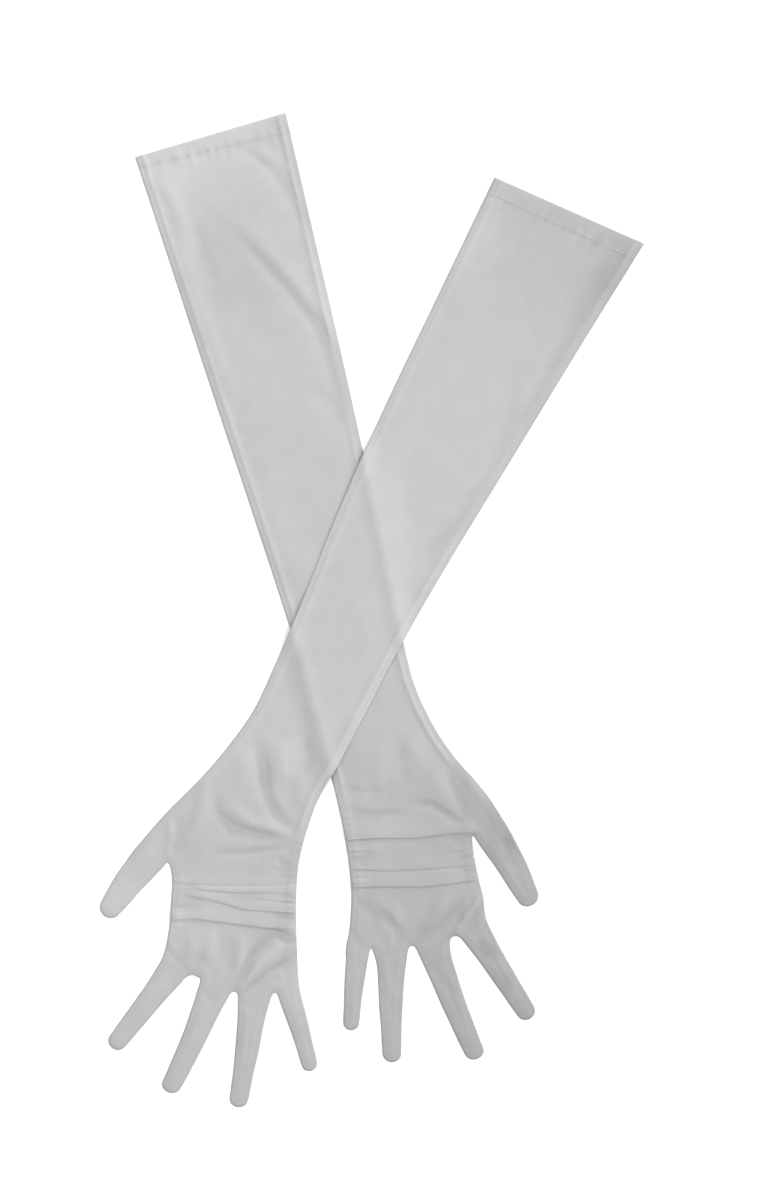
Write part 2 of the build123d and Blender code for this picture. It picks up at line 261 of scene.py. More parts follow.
LEFT = Lay(
    name="left",
    side=1,
    lean=-15.6,
    turn=6.5,
    sway=7.4,
    cuff=((-44.2, 406.2), (51.6, 407.6)),
    hem=(7.5, 12.5),
    sleeve=(
        (330, -40.8, 48.1), (250, -37.2, 44.5), (180, -33.7, 40.5), (120, -31.1, 36.7),
        (80, -29.8, 34.1), (50, -29.8, 33.5), (20, -30.2, 38.7), (0, -30.9, 45.7),
    ),
    little_edge=((-29.4, -25.6), (-29.2, -36), (-30, -60), (-32.2, -74.5), (-36.2, -90)),
    index_edge=((48.4, -79.4), (47.5, -70), (47.0, -53)),
    thumb_edge=((61, -20.3), (54.7, -9.4)),
    little_root=(-39.2, -98.1),
    thumb_crotch=(48.1, -42.9),
    root_angle=(-11.0, -5.0, 3.5, 21.0, 20.3),
    finger_angle=(-14.0, -9.1, 10.1, 22.7, 18.9),
    finger_length=(50.2, 70.1, 76.8, 66.7, 54.6),
    web=(0.0, 1.5, 2.5),
    gather=(-22.0, -64.0),
    sleeve_creases=(
        Crease(((-30, 377), (-32, 326), (-29, 273), (-25, 234)), 0.9, 5.0),
        Crease(
            ((-16, 366), (-1, 350), (10, 331), (24, 303), (36, 275), (39, 249), (38, 202), (37, 170)),
            -1.0,
            3.8,
        ),
        Crease(((6, 352), (20, 326), (32, 300), (42, 274), (46, 250)), 0.45, 5.0),
        Crease(((16, 400), (26, 387), (36, 372), (42, 352), (44, 330)), -0.75, 3.2),
        Crease(((-6, 243), (22, 242), (31, 226), (35, 205)), -0.35, 4.5),
        Crease(((-40, 396), (-30, 380), (-26, 350)), 0.5, 4.0),
        Crease(((-22, 372), (-20, 340), (-16, 300)), -0.4, 4.0),
        Crease(((-22, 200), (-20, 150), (-16, 120)), 0.4, 7.0),
        Crease(((7, 24), (-2, 6), (-7, -12)), 0.5, 5.0),
        Crease(((15, 26), (13, 6), (12, -12)), -0.45, 4.5),
        Crease(((24, 30), (24, 8), (27, -8)), 0.35, 5.0),
    ),
    hand_creases=(
        Crease(((-28, -3), (0, -8)), -0.4, 2.0),
        Crease(((-28, -16), (-11, -20), (12, -23)), -0.7, 2.0),
        Crease(((-26, -20), (-2, -25)), -0.4, 1.8),
        Crease(((10, -17), (26, -20), (36, -29), (46, -38)), -0.9, 2.4),
        Crease(((40, 5), (42, -10), (46, -36)), -0.6, 3.6),
        Crease(((34, 4), (33, -10), (38, -24)), 0.4, 5.0),
        Crease(((-14, 8), (-15, -8), (-20, -22)), 0.3, 4.0),
        Crease(((50, -2), (56, -20), (58, -34)), 0.6, 5.0),
        Crease(((57, -40), (63, -58), (69, -76)), 0.35, 4.0),
        Crease(((66, -44), (70, -58)), -0.35, 3.0),
        Crease(((20, -74), (10, -90), (3, -101)), -0.5, 3.0),
        Crease(((36, -74), (34, -84), (30, -96)), -0.5, 3.0),
        Crease(((28, -73), (22, -85), (19, -97)), 0.4, 3.5),
        Crease(((-4, -74), (-7, -88), (-12, -99)), 0.4, 3.5),
        Crease(((-14, -72), (-20, -88), (-24, -98)), -0.4, 3.0),
        Crease(((-20, -110), (-16, -124), (-17, -140)), 0.25, 3.0),
        Crease(((9, -106), (13, -116), (18, -130), (20, -138)), -0.7, 3.0),
        Crease(((20, -122), (24, -136), (26, -154)), 0.3, 3.0),
        Crease(((38, -106), (44, -113), (50, -122)), -0.7, 3.0),
        Crease(((50, -118), (56, -132), (61, -148)), 0.3, 3.0),
        Crease(((-33, -44), (-27, -44.5), (-17, -46)), -0.8, 1.3),
        Crease(((-33, -47.5), (-26, -47.5), (-19, -48)), -0.6, 1.1),
        Crease(((52, -43.5), (42, -43.5), (33, -44)), -0.7, 1.3),
        Crease(((52, -47), (44, -47), (37, -46.5)), -0.6, 1.2),
        Crease(((52, -55.5), (43, -55), (34, -54)), -0.7, 1.4),
        Crease(((52, -64.5), (43, -64), (36, -63)), -0.6, 1.3),
        Crease(((12, -118), (24, -114)), -0.3, 2.0),
        Crease(((40, -118), (52, -112)), -0.35, 2.4),
        Crease(((-29, -71), (-12, -84), (0, -104)), -0.95, 3.0),
        Crease(((49, -77), (45, -82), (36, -91), (27, -100), (24, -103)), 1.1, 1.4),
        Crease(((49, -82), (46, -86), (38, -95), (30, -103)), -0.5, 1.8),
        Crease(((36, -80), (24, -89), (11, -96), (2, -103)), -1.1, 3.6),
        Crease(((-35, -82), (-31, -92), (-27, -101)), -1.1, 1.5),
        Crease(((-29, -70), (-19, -75)), -0.8, 2.0),
        Crease(((-22, -106), (-11, -106), (-3, -103)), -0.4, 1.4),
        Crease(((8, -107), (19, -104), (27, -102)), -0.4, 1.4),
    ),
    # Partly how close the net lies, partly painted shade where the light falls off along the glove
    closeness=(
        (-190, 0.71), (-110, 0.64), (-85, 0.55), (-60, 0.6), (-20, 0.5), (40, 0.4), (150, 0.34),
        (250, 0.33), (360, 0.31), (408, 0.19),
    ),
    # painted shade across the hand, where the light falls off
    tilt=0.0018,
    # painted shade in patches, and painted light where negative
    patches=(
        Patch((-4, 322), (24, 40), 0.16),
        Patch((-24, 372), (9, 32), -0.1),
        Patch((40, 400), (10, 12), 0.14),
        Patch((49, 375), (6, 55), 0.26),
        Patch((70, -42), (15, 24), 0.28),
        Patch((-22, 150), (8, 60), -0.05),
    ),
    pleats=(
        Pleat(((-31, -32.5), (-13, -34), (14, -38), (32, -38.5), (50, -40)), 1.5, 6.0),
        Pleat(((-31, -40), (-21, -41), (-9, -43)), 0.7, 3.5),
        Pleat(((33, -50), (50, -51.5)), 0.7, 3.5),
        Pleat(((-31, -50), (-7, -55), (20, -58), (50, -60)), 0.9),
        Pleat(((-32, -54), (-19, -58)), 0.6, 2.5),
        Pleat(((-33, -61), (-11, -64), (12, -68), (32, -69), (50, -69)), 1.4, 6.0),
    ),
)

RIGHT = Lay(
    name="right",
    side=-1,
    lean=27.7,
    turn=23.0,
    sway=2.0,
    cuff=((-49.6, 413.4), (50.0, 406.9)),
    hem=(12.0, 11.0),
    sleeve=(
        (330, -43.7, 47.2), (250, -38.6, 44.2), (180, -34.1, 39.5), (120, -31.9, 33.5),
        (80, -32.2, 30.3), (50, -32.3, 29.1), (20, -31.3, 33.4), (0, -34.1, 38.1),
    ),
    little_edge=((-29.0, -25.8), (-28.0, -36), (-28.8, -60), (-31.5, -85.5)),
    index_edge=((47.7, -82.9), (47.6, -61.4), (48.3, -47)),
    thumb_edge=((54.4, -8.1), (45.5, 2.4)),
    little_root=(-34.5, -106.7),
    thumb_crotch=(51.3, -39.1),
    root_angle=(-23.0, -3.0, 17.0, 27.0, 35.6),
    finger_angle=(-20.7, 3.5, 16.7, 32.4, 31.4),
    finger_length=(52.1, 70.9, 72.0, 64.2, 49.8),
    web=(1.0, 1.5, 4.0),
    gather=(-20.0, -81.0),
    sleeve_creases=(
        Crease(((-37, 390), (-38, 341), (-38, 305), (-37, 261), (-28, 238)), -1.1, 6.0),
        Crease(((-35, 262), (-30, 211), (-22, 188), (-27, 168)), -0.9, 5.0),
        Crease(((-20, 300), (-27, 276), (-33, 252)), -0.45, 4.5),
        Crease(((22, 384), (33, 350), (38, 316)), 0.5, 5.0),
        Crease(((-42, 380), (-45, 330), (-43, 290)), 0.5, 3.0),
        Crease(((34, 235), (23, 217), (-5, 176), (-21, 158)), 0.8, 7.0),
        Crease(((18, 39), (-1, 6)), -0.8, 4.0),
        Crease(((-3, 56), (-15, 39), (-16, 23)), -0.6, 4.0),
        Crease(((6, 45), (-8, 17)), 0.9, 5.0),
    ),
    hand_creases=(
        Crease(((46, -8), (47, -23), (49, -37)), -0.9, 3.0),
        Crease(((26, 6), (24, -6), (14, -16), (-7, -18), (-29, -21)), -1.1, 3.4),
        Crease(((18, 6), (14, -4), (2, -11), (-14, -14), (-27, -18)), 0.9, 4.5),
        Crease(((5, 37), (-2, 23), (-5, 5), (-14, -7), (-29, -17)), -1.0, 3.4),
        Crease(((-20, 22), (-20, 6), (-24, -6)), -0.5, 4.0),
        Crease(((56, -16), (64, -34), (72, -52)), 0.5, 5.0),
        Crease(((32, 22), (33, -4), (40, -30)), 0.6, 5.0),
        Crease(((38, 16), (40, -6), (43, -28)), -0.35, 3.0),
        Crease(((16, 40), (10, 22), (12, 6)), 0.5, 5.0),
        Crease(((52, -10), (50, -24), (52, -38)), 0.6, 3.0),
        Crease(((4, -76), (2, -90), (6, -104)), 0.6, 3.2),
        Crease(((12, -76), (9, -88), (6, -100)), -0.35, 2.6),
        Crease(((20, -75), (22, -88), (24, -100)), 0.45, 3.2),
        Crease(((34, -76), (33, -88), (31, -98)), 0.4, 3.4),
        Crease(((-8, -77), (-6, -86), (-2, -96)), -0.4, 2.2),
        Crease(((40, -78), (44, -90)), -0.4, 2.4),
        Crease(((-8, -118), (-5, -136), (-4, -156)), 0.25, 3.0),
        Crease(((18, -116), (24, -134), (31, -154)), 0.25, 3.0),
        Crease(((44, -104), (54, -120), (64, -136)), 0.25, 3.0),
        Crease(((-8, -122), (4, -118)), -0.3, 2.0),
        Crease(((14, -122), (26, -114)), -0.3, 2.0),
        Crease(((30, -32), (26, -31), (5, -29), (-12, -25), (-33, -21)), -0.9, 1.8),
        Crease(((-33, -25), (-27, -26), (-19, -28)), -0.9, 1.3),
        Crease(((-33, -29), (-26, -30.5), (-16, -33)), -0.7, 1.4),
        Crease(((-33, -38.5), (-26, -38), (-12, -38)), -0.8, 1.5),
        Crease(((-33, -42), (-25, -42), (-14, -42.5)), -0.6, 1.2),
        Crease(((-33, -67), (-26, -67), (-12, -66)), -0.7, 1.5),
        Crease(((52, -66), (42, -66), (28, -65)), -0.5, 1.6),
        Crease(((-13, -31), (-28, -36)), -0.8, 1.8),
        Crease(((-24, -68), (-17, -75), (-3, -91), (4, -112), (6, -120)), -1.6, 2.4),
        Crease(((-30, -76), (-24, -81), (-10, -94), (2, -113), (5, -120)), 1.1, 3.0),
        Crease(((-37, -84), (-31, -88), (-15, -99), (1, -115), (6, -120)), -1.8, 2.1),
        Crease(((18, -77), (10, -98), (5, -113)), -0.5, 4.0),
        Crease(((27, -92), (29, -106)), -0.6, 3.0),
        Crease(((52, -86), (48, -90), (38, -98), (31, -106), (28, -109)), -1.2, 1.5),
        Crease(((-16, -72), (-19, -77), (-24, -81), (-34, -78)), -1.7, 1.8),
        Crease(((-24, -86), (-26, -100)), -0.5, 3.0),
    ),
    # Partly how close the net lies, partly painted shade where the light falls off along the glove
    closeness=(
        (-190, 0.54), (-110, 0.44), (-85, 0.32), (-60, 0.46), (-20, 0.43), (40, 0.28), (90, 0.28),
        (250, 0.28), (330, 0.34), (408, 0.53),
    ),
    # painted shade across the hand, where the light falls off
    tilt=-0.0012,
    # painted shade in patches, and painted light where negative
    patches=(
        Patch((-40, 384), (13, 26), 0.26),
        Patch((40, 372), (9, 26), -0.2),
    ),
    pleats=(
        Pleat(((50, -51), (13, -49), (-31, -45)), 0.7, 4.0),
        Pleat(((34, -53.5), (9, -53), (-31, -50)), 0.9, 3.5),
        Pleat(((37, -57.5), (21, -59), (3, -63), (-31, -62.5)), 1.0, 4.0),
        Pleat(((-4, -56), (-31, -56)), 0.5, 2.5),
        Pleat(((50, -73), (32, -71), (11, -72), (-13, -73), (-32, -74.5)), 1.4, 6.0),
    ),
)


def smooth_step(value: np.ndarray, low: float, high: float) -> np.ndarray:
    """Rises smoothly from 0 at low to 1 at high."""
    share = np.clip((value - low) / (high - low), 0, 1)
    return share * share * (3 - 2 * share)


def bell(offset: np.ndarray, width: float | np.ndarray) -> np.ndarray:
    """Falls smoothly from 1 where the offset is none towards 0 past the width."""
    return np.exp(-((offset / width) ** 2))


def through(points: np.ndarray, step: float) -> np.ndarray:
    """A smooth line through all the points, each of which stays on it.

    Args:
        points: The points, in order.
        step: About how far apart the line's points are.

    Returns:
        The line's points, without the last.
    """
    padded = np.vstack([2 * points[0] - points[1], points, 2 * points[-1] - points[-2]])
    line = []
    for before, start, end, after in zip(padded, padded[1:], padded[2:], padded[3:]):
        knots = [0.0]
        for near, far in ((before, start), (start, end), (end, after)):
            knots.append(knots[-1] + max(np.linalg.norm(far - near), 1e-6) ** 0.5)
        count = max(1, round(np.linalg.norm(end - start) / step))
        t = knots[1] + (knots[2] - knots[1]) * np.arange(count)[:, None] / count

        def mix(a: np.ndarray, b: np.ndarray, first: int, last: int) -> np.ndarray:
            """Straight from a to b between two knots."""
            share = (t - knots[first]) / (knots[last] - knots[first])
            return a * (1 - share) + b * share

        one, two, three = mix(before, start, 0, 1), mix(start, end, 1, 2), mix(end, after, 2, 3)
        line.append(mix(mix(one, two, 0, 2), mix(two, three, 1, 3), 1, 2))
    return np.vstack(line)


def to_line(points: np.ndarray, line: np.ndarray) -> tuple[np.ndarray, np.ndarray]:
    """How points lie to a line of straight runs.

    Args:
        points: The points, one a row.
        line: The line's points, in order.

    Returns:
        The distance to the line, and the share of the line's length where it comes nearest.
    """
    best = np.full(len(points), np.inf)
    place = np.zeros(len(points))
    runs = np.linalg.norm(np.diff(line, axis=0), axis=1)
    before = np.concatenate([[0], np.cumsum(runs)])
    for index, (start, end) in enumerate(zip(line, line[1:])):
        along = end - start
        share = np.clip((points - start) @ along / max(along @ along, 1e-12), 0, 1)
        gap = points - start - share[:, None] * along
        distance = np.hypot(gap[:, 0], gap[:, 1])
        nearer = distance < best
        best = np.where(nearer, distance, best)
        place = np.where(nearer, (before[index] + share * runs[index]) / before[-1], place)
    return best, place


def inside(points: np.ndarray, ring: np.ndarray) -> np.ndarray:
    """Whether each point is inside a closed ring of points."""
    result = np.zeros(len(points), bool)
    x, y = points[:, 0], points[:, 1]
    for start, end in zip(ring, np.roll(ring, -1, axis=0)):
        crosses = (start[1] > y) != (end[1] > y)
        if crosses.any():
            at = start[0] + (y - start[1]) * (end[0] - start[0]) / (end[1] - start[1] + 1e-12)
            result ^= crosses & (x < at)
    return result


class Frames:
    """A glove's sleeve and hand frames on the table, in millimetres."""

    def __init__(self, lay: Lay) -> None:
        """Takes the wrist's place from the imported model's wrist hinge.

        Args:
            lay: How the glove is laid.
        """
        self.lay = lay
        lean = math.radians(lay.lean)
        self.along = np.array([math.sin(lean), math.cos(lean)])
        self.across = lay.side * np.array([self.along[1], -self.along[0]])
        hinge = next(j for j in frame["joints"] if j["name"] == f"{lay.name}_wrist_fold")
        self.wrist = np.array(hinge["pos_m"][:2]) / MM - lay.sway * self.across
        turn = math.radians(lay.turn)
        self.hand_across = math.cos(turn) * self.across - math.sin(turn) * self.along
        self.hand_along = math.sin(turn) * self.across + math.cos(turn) * self.along

    def sleeve(self, places: np.ndarray) -> np.ndarray:
        """Places on the sleeve, on the table."""
        places = np.asarray(places, float)
        return self.wrist + places[..., :1] * self.across + places[..., 1:] * self.along

    def hand(self, places: np.ndarray) -> np.ndarray:
        """Places on the hand, on the table."""
        places = np.asarray(places, float)
        return self.wrist + places[..., :1] * self.hand_across + places[..., 1:] * self.hand_along

    def in_sleeve(self, points: np.ndarray) -> np.ndarray:
        """Points on the table, in the sleeve's frame."""
        return (points - self.wrist) @ np.stack([self.across, self.along], axis=1)

    def in_hand(self, points: np.ndarray) -> np.ndarray:
        """Points on the table, in the hand's frame."""
        return (points - self.wrist) @ np.stack([self.hand_across, self.hand_along], axis=1)


@dataclass
class Finger:
    """One finger as it lies, in the hand's frame."""

    name: str
    start: np.ndarray
    end: np.ndarray
    heading: np.ndarray
    length: float

    @property
    def root(self) -> np.ndarray:
        """The middle of its root line."""
        return (self.start + self.end) / 2

    def outline(self) -> list[np.ndarray]:
        """Its edge from the little finger's side, round the tip, to the thumb's side."""
        cut = CUTS[self.name]
        beside = np.array([-self.heading[1], self.heading[0]])
        places = np.array(WIDTH_PLACES)
        bow = np.interp(places, (0.14, 0.5, 1.0), cut.bow)
        middle = self.root + np.outer(places * self.length, self.heading) + np.outer(bow, beside)
        half = np.outer(np.array(cut.widths) / 2, beside)
        radius = cut.widths[-1] / 2
        tip = self.root + self.heading * (self.length - radius) + beside * cut.bow[-1]
        cap = [
            tip + radius * (self.heading * math.cos(a) + beside * math.sin(a))
            for a in np.radians((-62, -32, 0, 32, 62))
        ]
        return [*(middle - half), *cap, *(middle + half)[::-1]]


class Outline:
    """The edge of one glove as it lies, with its fold lines."""

    def __init__(self, frames: Frames) -> None:
        """Works the edge out from the way the glove is laid.

        Args:
            frames: The glove's frames.
        """
        lay = frames.lay
        self.frames = frames
        self.fingers = self._fingers(lay)
        keys = [frames.sleeve(lay.cuff[0]), *(frames.sleeve((u, v)) for v, u, _ in lay.sleeve)]
        hand = [np.array(place) for place in lay.little_edge]
        webs = dict(zip(FINGERS[1:4], lay.web))
        for finger in self.fingers[:4]:
            hand.extend(self._web(finger.start, webs.get(finger.name, 0.0)))
            hand.extend(finger.outline())
        hand.append(self.fingers[3].end)
        hand.extend(np.array(place) for place in lay.index_edge)
        thumb = self.fingers[4]
        hand.extend([thumb.start, *thumb.outline(), thumb.end])
        hand.extend(np.array(place) for place in lay.thumb_edge)
        keys.extend(frames.hand(place) for place in hand)
        keys.extend(frames.sleeve((u, v)) for v, _, u in reversed(lay.sleeve))
        keys.append(frames.sleeve(lay.cuff[1]))
        keys = np.array(keys)
        self.edge = np.vstack([through(keys, OUTLINE_STEP), keys[-1:]])
        count = round(np.linalg.norm(keys[-1] - keys[0]) / OUTLINE_STEP)
        shares = np.arange(1, count)[:, None] / count
        self.mouth = keys[-1] * (1 - shares) + keys[0] * shares
        self.ring = np.vstack([self.edge, self.mouth])
        self.folds = self._folds()
        self.inward = self._inward()

    @staticmethod
    def _web(middle: np.ndarray, flat: float) -> list[np.ndarray]:
        """The web between two fingers, flat for that far each side of its middle."""
        if not flat:
            return [middle]
        reach, drop = np.array([flat, 0.0]), np.array([0.0, -0.35 * flat])
        return [middle - reach + drop, middle, middle + reach + drop]

    @staticmethod
    def _fingers(lay: Lay) -> list[Finger]:
        """The fingers in order, their root lines end to end."""
        fingers = []
        corner = np.array(lay.little_root)
        for index, name in enumerate(FINGERS):
            if name == "thumb":
                corner = np.array(lay.thumb_crotch)
            turn, lean = math.radians(lay.root_angle[index]), math.radians(lay.finger_angle[index])
            end = corner + CUTS[name].root * np.array([math.cos(turn), math.sin(turn)])
            heading = np.array([math.sin(lean), -math.cos(lean)])
            fingers.append(Finger(name, corner, end, heading, lay.finger_length[index]))
            corner = end
        return fingers

    def _folds(self) -> dict[str, np.ndarray]:
        """The two ends of each fold line, by the piece beyond it."""
        ends = {v: (little, thumb) for v, little, thumb in self.frames.lay.sleeve}
        folds = {
            "upper_sleeve": self.frames.sleeve([(u, ELBOW) for u in ends[ELBOW]]),
            "hand": self.frames.sleeve([(u, 0.0) for u in ends[0]]),
        }
        for finger in self.fingers:
            folds[finger.name] = self.frames.hand([finger.start, finger.end])
        return folds

    def _inward(self) -> np.ndarray:
        """The way into the glove, square to the edge, at each of its points."""
        heading = np.gradient(self.edge, axis=0)
        beside = np.stack([heading[:, 1], -heading[:, 0]], axis=1)
        beside /= np.linalg.norm(beside, axis=1)[:, None]
        tried = (self.edge + 0.2 * beside)[10:11]
        return beside if inside(tried, self.ring)[0] else -beside


class Cloth:
    """The heights of one glove's two panels over the table, in millimetres."""

    def __init__(self, outline: Outline, under: "Cloth | None") -> None:
        """Sets the glove down, on the table or over another.

        Args:
            outline: The glove's edge.
            under: The cloth of the glove beneath it, if there is one.
        """
        self.outline = outline
        self.frames = outline.frames
        self.lay = outline.frames.lay
        self.under = under

    def depth(self, points: np.ndarray) -> np.ndarray:
        """How far points are inside the sewn edge."""
        best = np.full(len(points), np.inf)
        edge = self.outline.edge
        for chunk in range(0, len(edge) - 1, 24):
            run = edge[chunk : chunk + 25]
            low, high = run.min(0), run.max(0)
            gap = np.maximum(np.maximum(low - points, points - high), 0)
            near = np.hypot(gap[:, 0], gap[:, 1]) < best
            if near.any():
                best[near] = np.minimum(best[near], to_line(points[near], run)[0])
        return best

    def over(self, points: np.ndarray) -> np.ndarray:
        """1 where the cloth lies on the glove beneath, 0 where it lies on the table."""
        if self.under is None:
            return np.zeros(len(points))
        beneath = inside(points, self.under.outline.ring)
        return smooth_step(np.where(beneath, 1.0, -1.0) * self.under.depth(points), -2.0, 5.0)

    def lift(self, points: np.ndarray) -> np.ndarray:
        """How high the table, or the glove beneath, holds the cloth up."""
        if self.under is None:
            return np.zeros(len(points))
        beneath = inside(points, self.under.outline.ring)
        depth = np.where(beneath, 1.0, -1.0) * self.under.depth(points)
        drape = CLIMB * smooth_step(depth, -13.0, 2.0) + EDGE_RIDGE * bell(depth - 1.0, 4.2)
        return np.maximum(drape, np.where(beneath, self.under.palm(points) + OVER_GAP, 0.0))

    def back(self, points: np.ndarray) -> np.ndarray:
        """The height of the back panel, which lies on what is beneath."""
        return self.lift(points) + BACK_REST

    def creases(self, points: np.ndarray) -> np.ndarray:
        """What all the creases add to the palm panel's height."""
        on_sleeve = self._crease_heights(self.frames.in_sleeve(points), self.lay.sleeve_creases)
        on_hand = self._crease_heights(self.frames.in_hand(points), self.lay.hand_creases)
        return on_sleeve + on_hand

    def closeness(self, points: np.ndarray) -> np.ndarray:
        """How dark the net is coloured, from 0, the palest, to 1.

        It starts from a level listed along the glove, partly how close the net lies and partly
        painted shade where the light falls off, and carries more painted light: painted shade
        across the hand, in listed patches, in creases, on the rolled edge and along the hem's
        stitches, and painted highlights on ridges, on the puckers, below each pleat and along
        the seam allowance's inner edge. It is also paler over the seam allowance.
        """
        sleeve = self.frames.in_sleeve(points)
        depth = self.depth(points)
        # A level listed along the glove, partly how close the net lies and partly painted shade where the
        # light falls off along it
        levels = np.array(self.lay.closeness)
        total = np.interp(sleeve[:, 1], levels[:, 0], levels[:, 1])
        on_hand = smooth_step(-sleeve[:, 1], -20.0, 20.0)
        # Painted shade across the hand, where the light falls off across the table
        total += self.lay.tilt * on_hand * self.frames.in_hand(points)[:, 0]
        # Painted shade in patches, and painted light where a patch is negative
        for patch in self.lay.patches:
            away = ((sleeve - patch.middle) / patch.reach) ** 2
            total += patch.painted_shade * np.exp(-away.sum(1))
        creases = self.creases(points)
        # Painted shade in creases and painted highlights on ridges
        total += PAINTED_SHADE_IN_CREASE * np.maximum(-creases, 0) - PAINTED_HIGHLIGHT_ON_RIDGE * np.maximum(creases, 0)
        # Painted highlights on the hem's puckers, painted shade in their dips and along the stitch line
        total -= PAINTED_LIGHT_ON_PUCKER * self._puckers(sleeve)
        hand = self.frames.in_hand(points)
        # Painted highlight just fingerwards of each pleat's folded edge
        for pleat in self.lay.pleats:
            offset, strength = self._to_pleat(hand, pleat)
            total -= PAINTED_HIGHLIGHT_BELOW_PLEAT * strength * bell(offset + 1.7, 0.8)
        # Paler over the seam allowance, with a painted highlight along its inner edge
        band = PALER_OVER_SEAM * (1 - smooth_step(depth, 4.8, 5.8))
        band += PAINTED_HIGHLIGHT_AT_SEAM_EDGE * bell(depth - 5.2, 0.8)
        # Painted shade on the rolled edge, taken off with painted light where it lies on the other glove
        rim = (PAINTED_SHADE_AT_EDGE - PAINTED_LIGHT_AT_EDGE_OVER * self.over(points)) * bell(depth, 1.2)
        return np.clip(total - band * (1 - on_hand) + rim, 0, 1)

    @staticmethod
    def _crease_heights(places: np.ndarray, creases: tuple[Crease, ...]) -> np.ndarray:
        """What the creases add, at places in their own frame."""
        total = np.zeros(len(places))
        for crease in creases:
            path = np.array(crease.path, float)
            near = np.abs(places - path.mean(0)).max(1) < 3 * crease.width + np.ptp(path, 0).max()
            if near.any():
                distance, place = to_line(places[near], path)
                fade = smooth_step(place, -0.02, 0.35) * (1 - smooth_step(place, 0.65, 1.02))
                total[near] += CREASE_GAIN * crease.height * fade * bell(distance, crease.width)
        return total

    def _ripples(self, places: np.ndarray, depth: np.ndarray) -> np.ndarray:
        """The fine gathers along both edges of the hand."""
        first, last = self.lay.gather
        v = places[:, 1]
        zone = smooth_step(-v, -first - 6, -first) * (1 - smooth_step(-v, -last, -last + 8))
        zone *= 1 - smooth_step(places[:, 0], 48.5, 50.5)
        reach = np.where(places[:, 0] < 9, 8.0, 4.5)
        swing = np.sin(2 * np.pi * v / 3.6 + 1.7 * np.sin(v / 5.3) + 0.12 * places[:, 0])
        return RIPPLE * zone * swing * np.exp(-depth / reach)

    @staticmethod
    def _slack(places: np.ndarray) -> np.ndarray:
        """The slow unevenness of net laid down by hand, and its fine crinkle."""
        u, v = places[:, 0], places[:, 1]
        slow = 0.22 * np.sin(v / 23 + 0.7 * np.sin(u / 17)) * np.cos(u / 19 + v / 61)
        diagonal = 0.10 * np.sin((u + 0.6 * v) / 7.5 + np.sin(v / 31))
        diagonal += 0.09 * smooth_step(-v, 60, 90) * np.sin(v / 3.6 + u / 5.5) * np.sin(v / 11 + u / 23)
        fine = 0.035 * np.sin(u / 1.9 + 2.0 * np.sin(v / 8.7)) * np.sin(v / 2.6 + np.sin(u / 6.1))
        return slow + diagonal + fine

    def to_hem(self, places: np.ndarray) -> np.ndarray:
        """How far beyond the hem's line, towards the cuff's mouth, places on the sleeve are."""
        (little, low), (thumb, high) = self.lay.cuff
        level = np.interp(places[:, 0], (little, thumb), (low - self.lay.hem[0], high - self.lay.hem[1]))
        return places[:, 1] - level

    def _puckers(self, places: np.ndarray) -> np.ndarray:
        """The puckers that the hem's stitches draw in the cuff."""
        u, beyond = places[:, 0], self.to_hem(places)
        near = bell(beyond, np.where(beyond > 0, 5.0, 6.0))
        wave = np.sin(2 * np.pi * u / 7.3 + 2.3 * np.sin(u / 8.0)) + 0.7 * np.sin(u / 2.9 + beyond / 4)
        strength = 0.14 + 0.1 * np.sin(u / 6.7 + 1.0) * np.sin(u / 15.0)
        seam = -0.2 * bell(beyond, 1.2)
        return strength * wave * near + seam

    def _pleat_heights(self, places: np.ndarray) -> np.ndarray:
        """How high the pleats stand."""
        total = np.zeros(len(places))
        for pleat in self.lay.pleats:
            offset, strength = self._to_pleat(places, pleat)
            rise = bell(offset, np.where(offset >= 0, pleat.spread, 1.3))
            total = np.maximum(total, pleat.height * strength * rise)
        return total

    @staticmethod
    def _to_pleat(places: np.ndarray, pleat: Pleat) -> tuple[np.ndarray, np.ndarray]:
        """How far wristwards of a pleat's edge each place is, and the pleat's strength."""
        path = np.array(pleat.path, float)
        distance = to_line(places, path)[0]
        order = np.argsort(path[:, 0])
        level = np.interp(places[:, 0], path[order, 0], path[order, 1])
        low, high = path[:, 0].min() - 4, path[:, 0].max() + 4
        strength = smooth_step(places[:, 0], low, low + 9)
        strength *= 1 - smooth_step(places[:, 0], high - 9, high)
        offset = places[:, 1] - level
        return np.copysign(np.minimum(np.abs(offset), distance + 1e-9), offset), strength

    def palm(self, points: np.ndarray) -> np.ndarray:
        """The height of the palm panel, before its pleats fold over."""
        depth = self.depth(points)
        sleeve, hand = self.frames.in_sleeve(points), self.frames.in_hand(points)
        on_hand = smooth_step(-sleeve[:, 1], -6.0, 10.0)
        reach = EDGE_ROLL + OVER_ROLL * self.over(points)
        roll = np.sqrt(1 - (1 - np.clip(depth / reach, 0, 1)) ** 2)
        seam = SEAM_RIDGE * bell(depth - 4.8, 1.5) - 0.12 * bell(depth - 2.9, 1.0)
        filled = EDGE_FILL - 0.15 * on_hand + MIDDLE_FILL * smooth_step(depth, 3.0, 22.0)
        height = filled + seam * (1 - 0.6 * on_hand) + self._slack(sleeve)
        height += self.creases(points)
        height += self._ripples(hand, depth) + self._puckers(sleeve)
        on_palm = (hand[:, 1] > -90) & (sleeve[:, 1] < 20) & (hand[:, 0] < 51)
        height += np.where(on_palm, self._pleat_heights(hand), 0.0)
        gentle = smooth_step(depth, 0.0, 5.0)
        height = np.maximum(height, 0.35 + 0.4 * gentle)
        return self.lift(points) + BACK_REST + roll * height

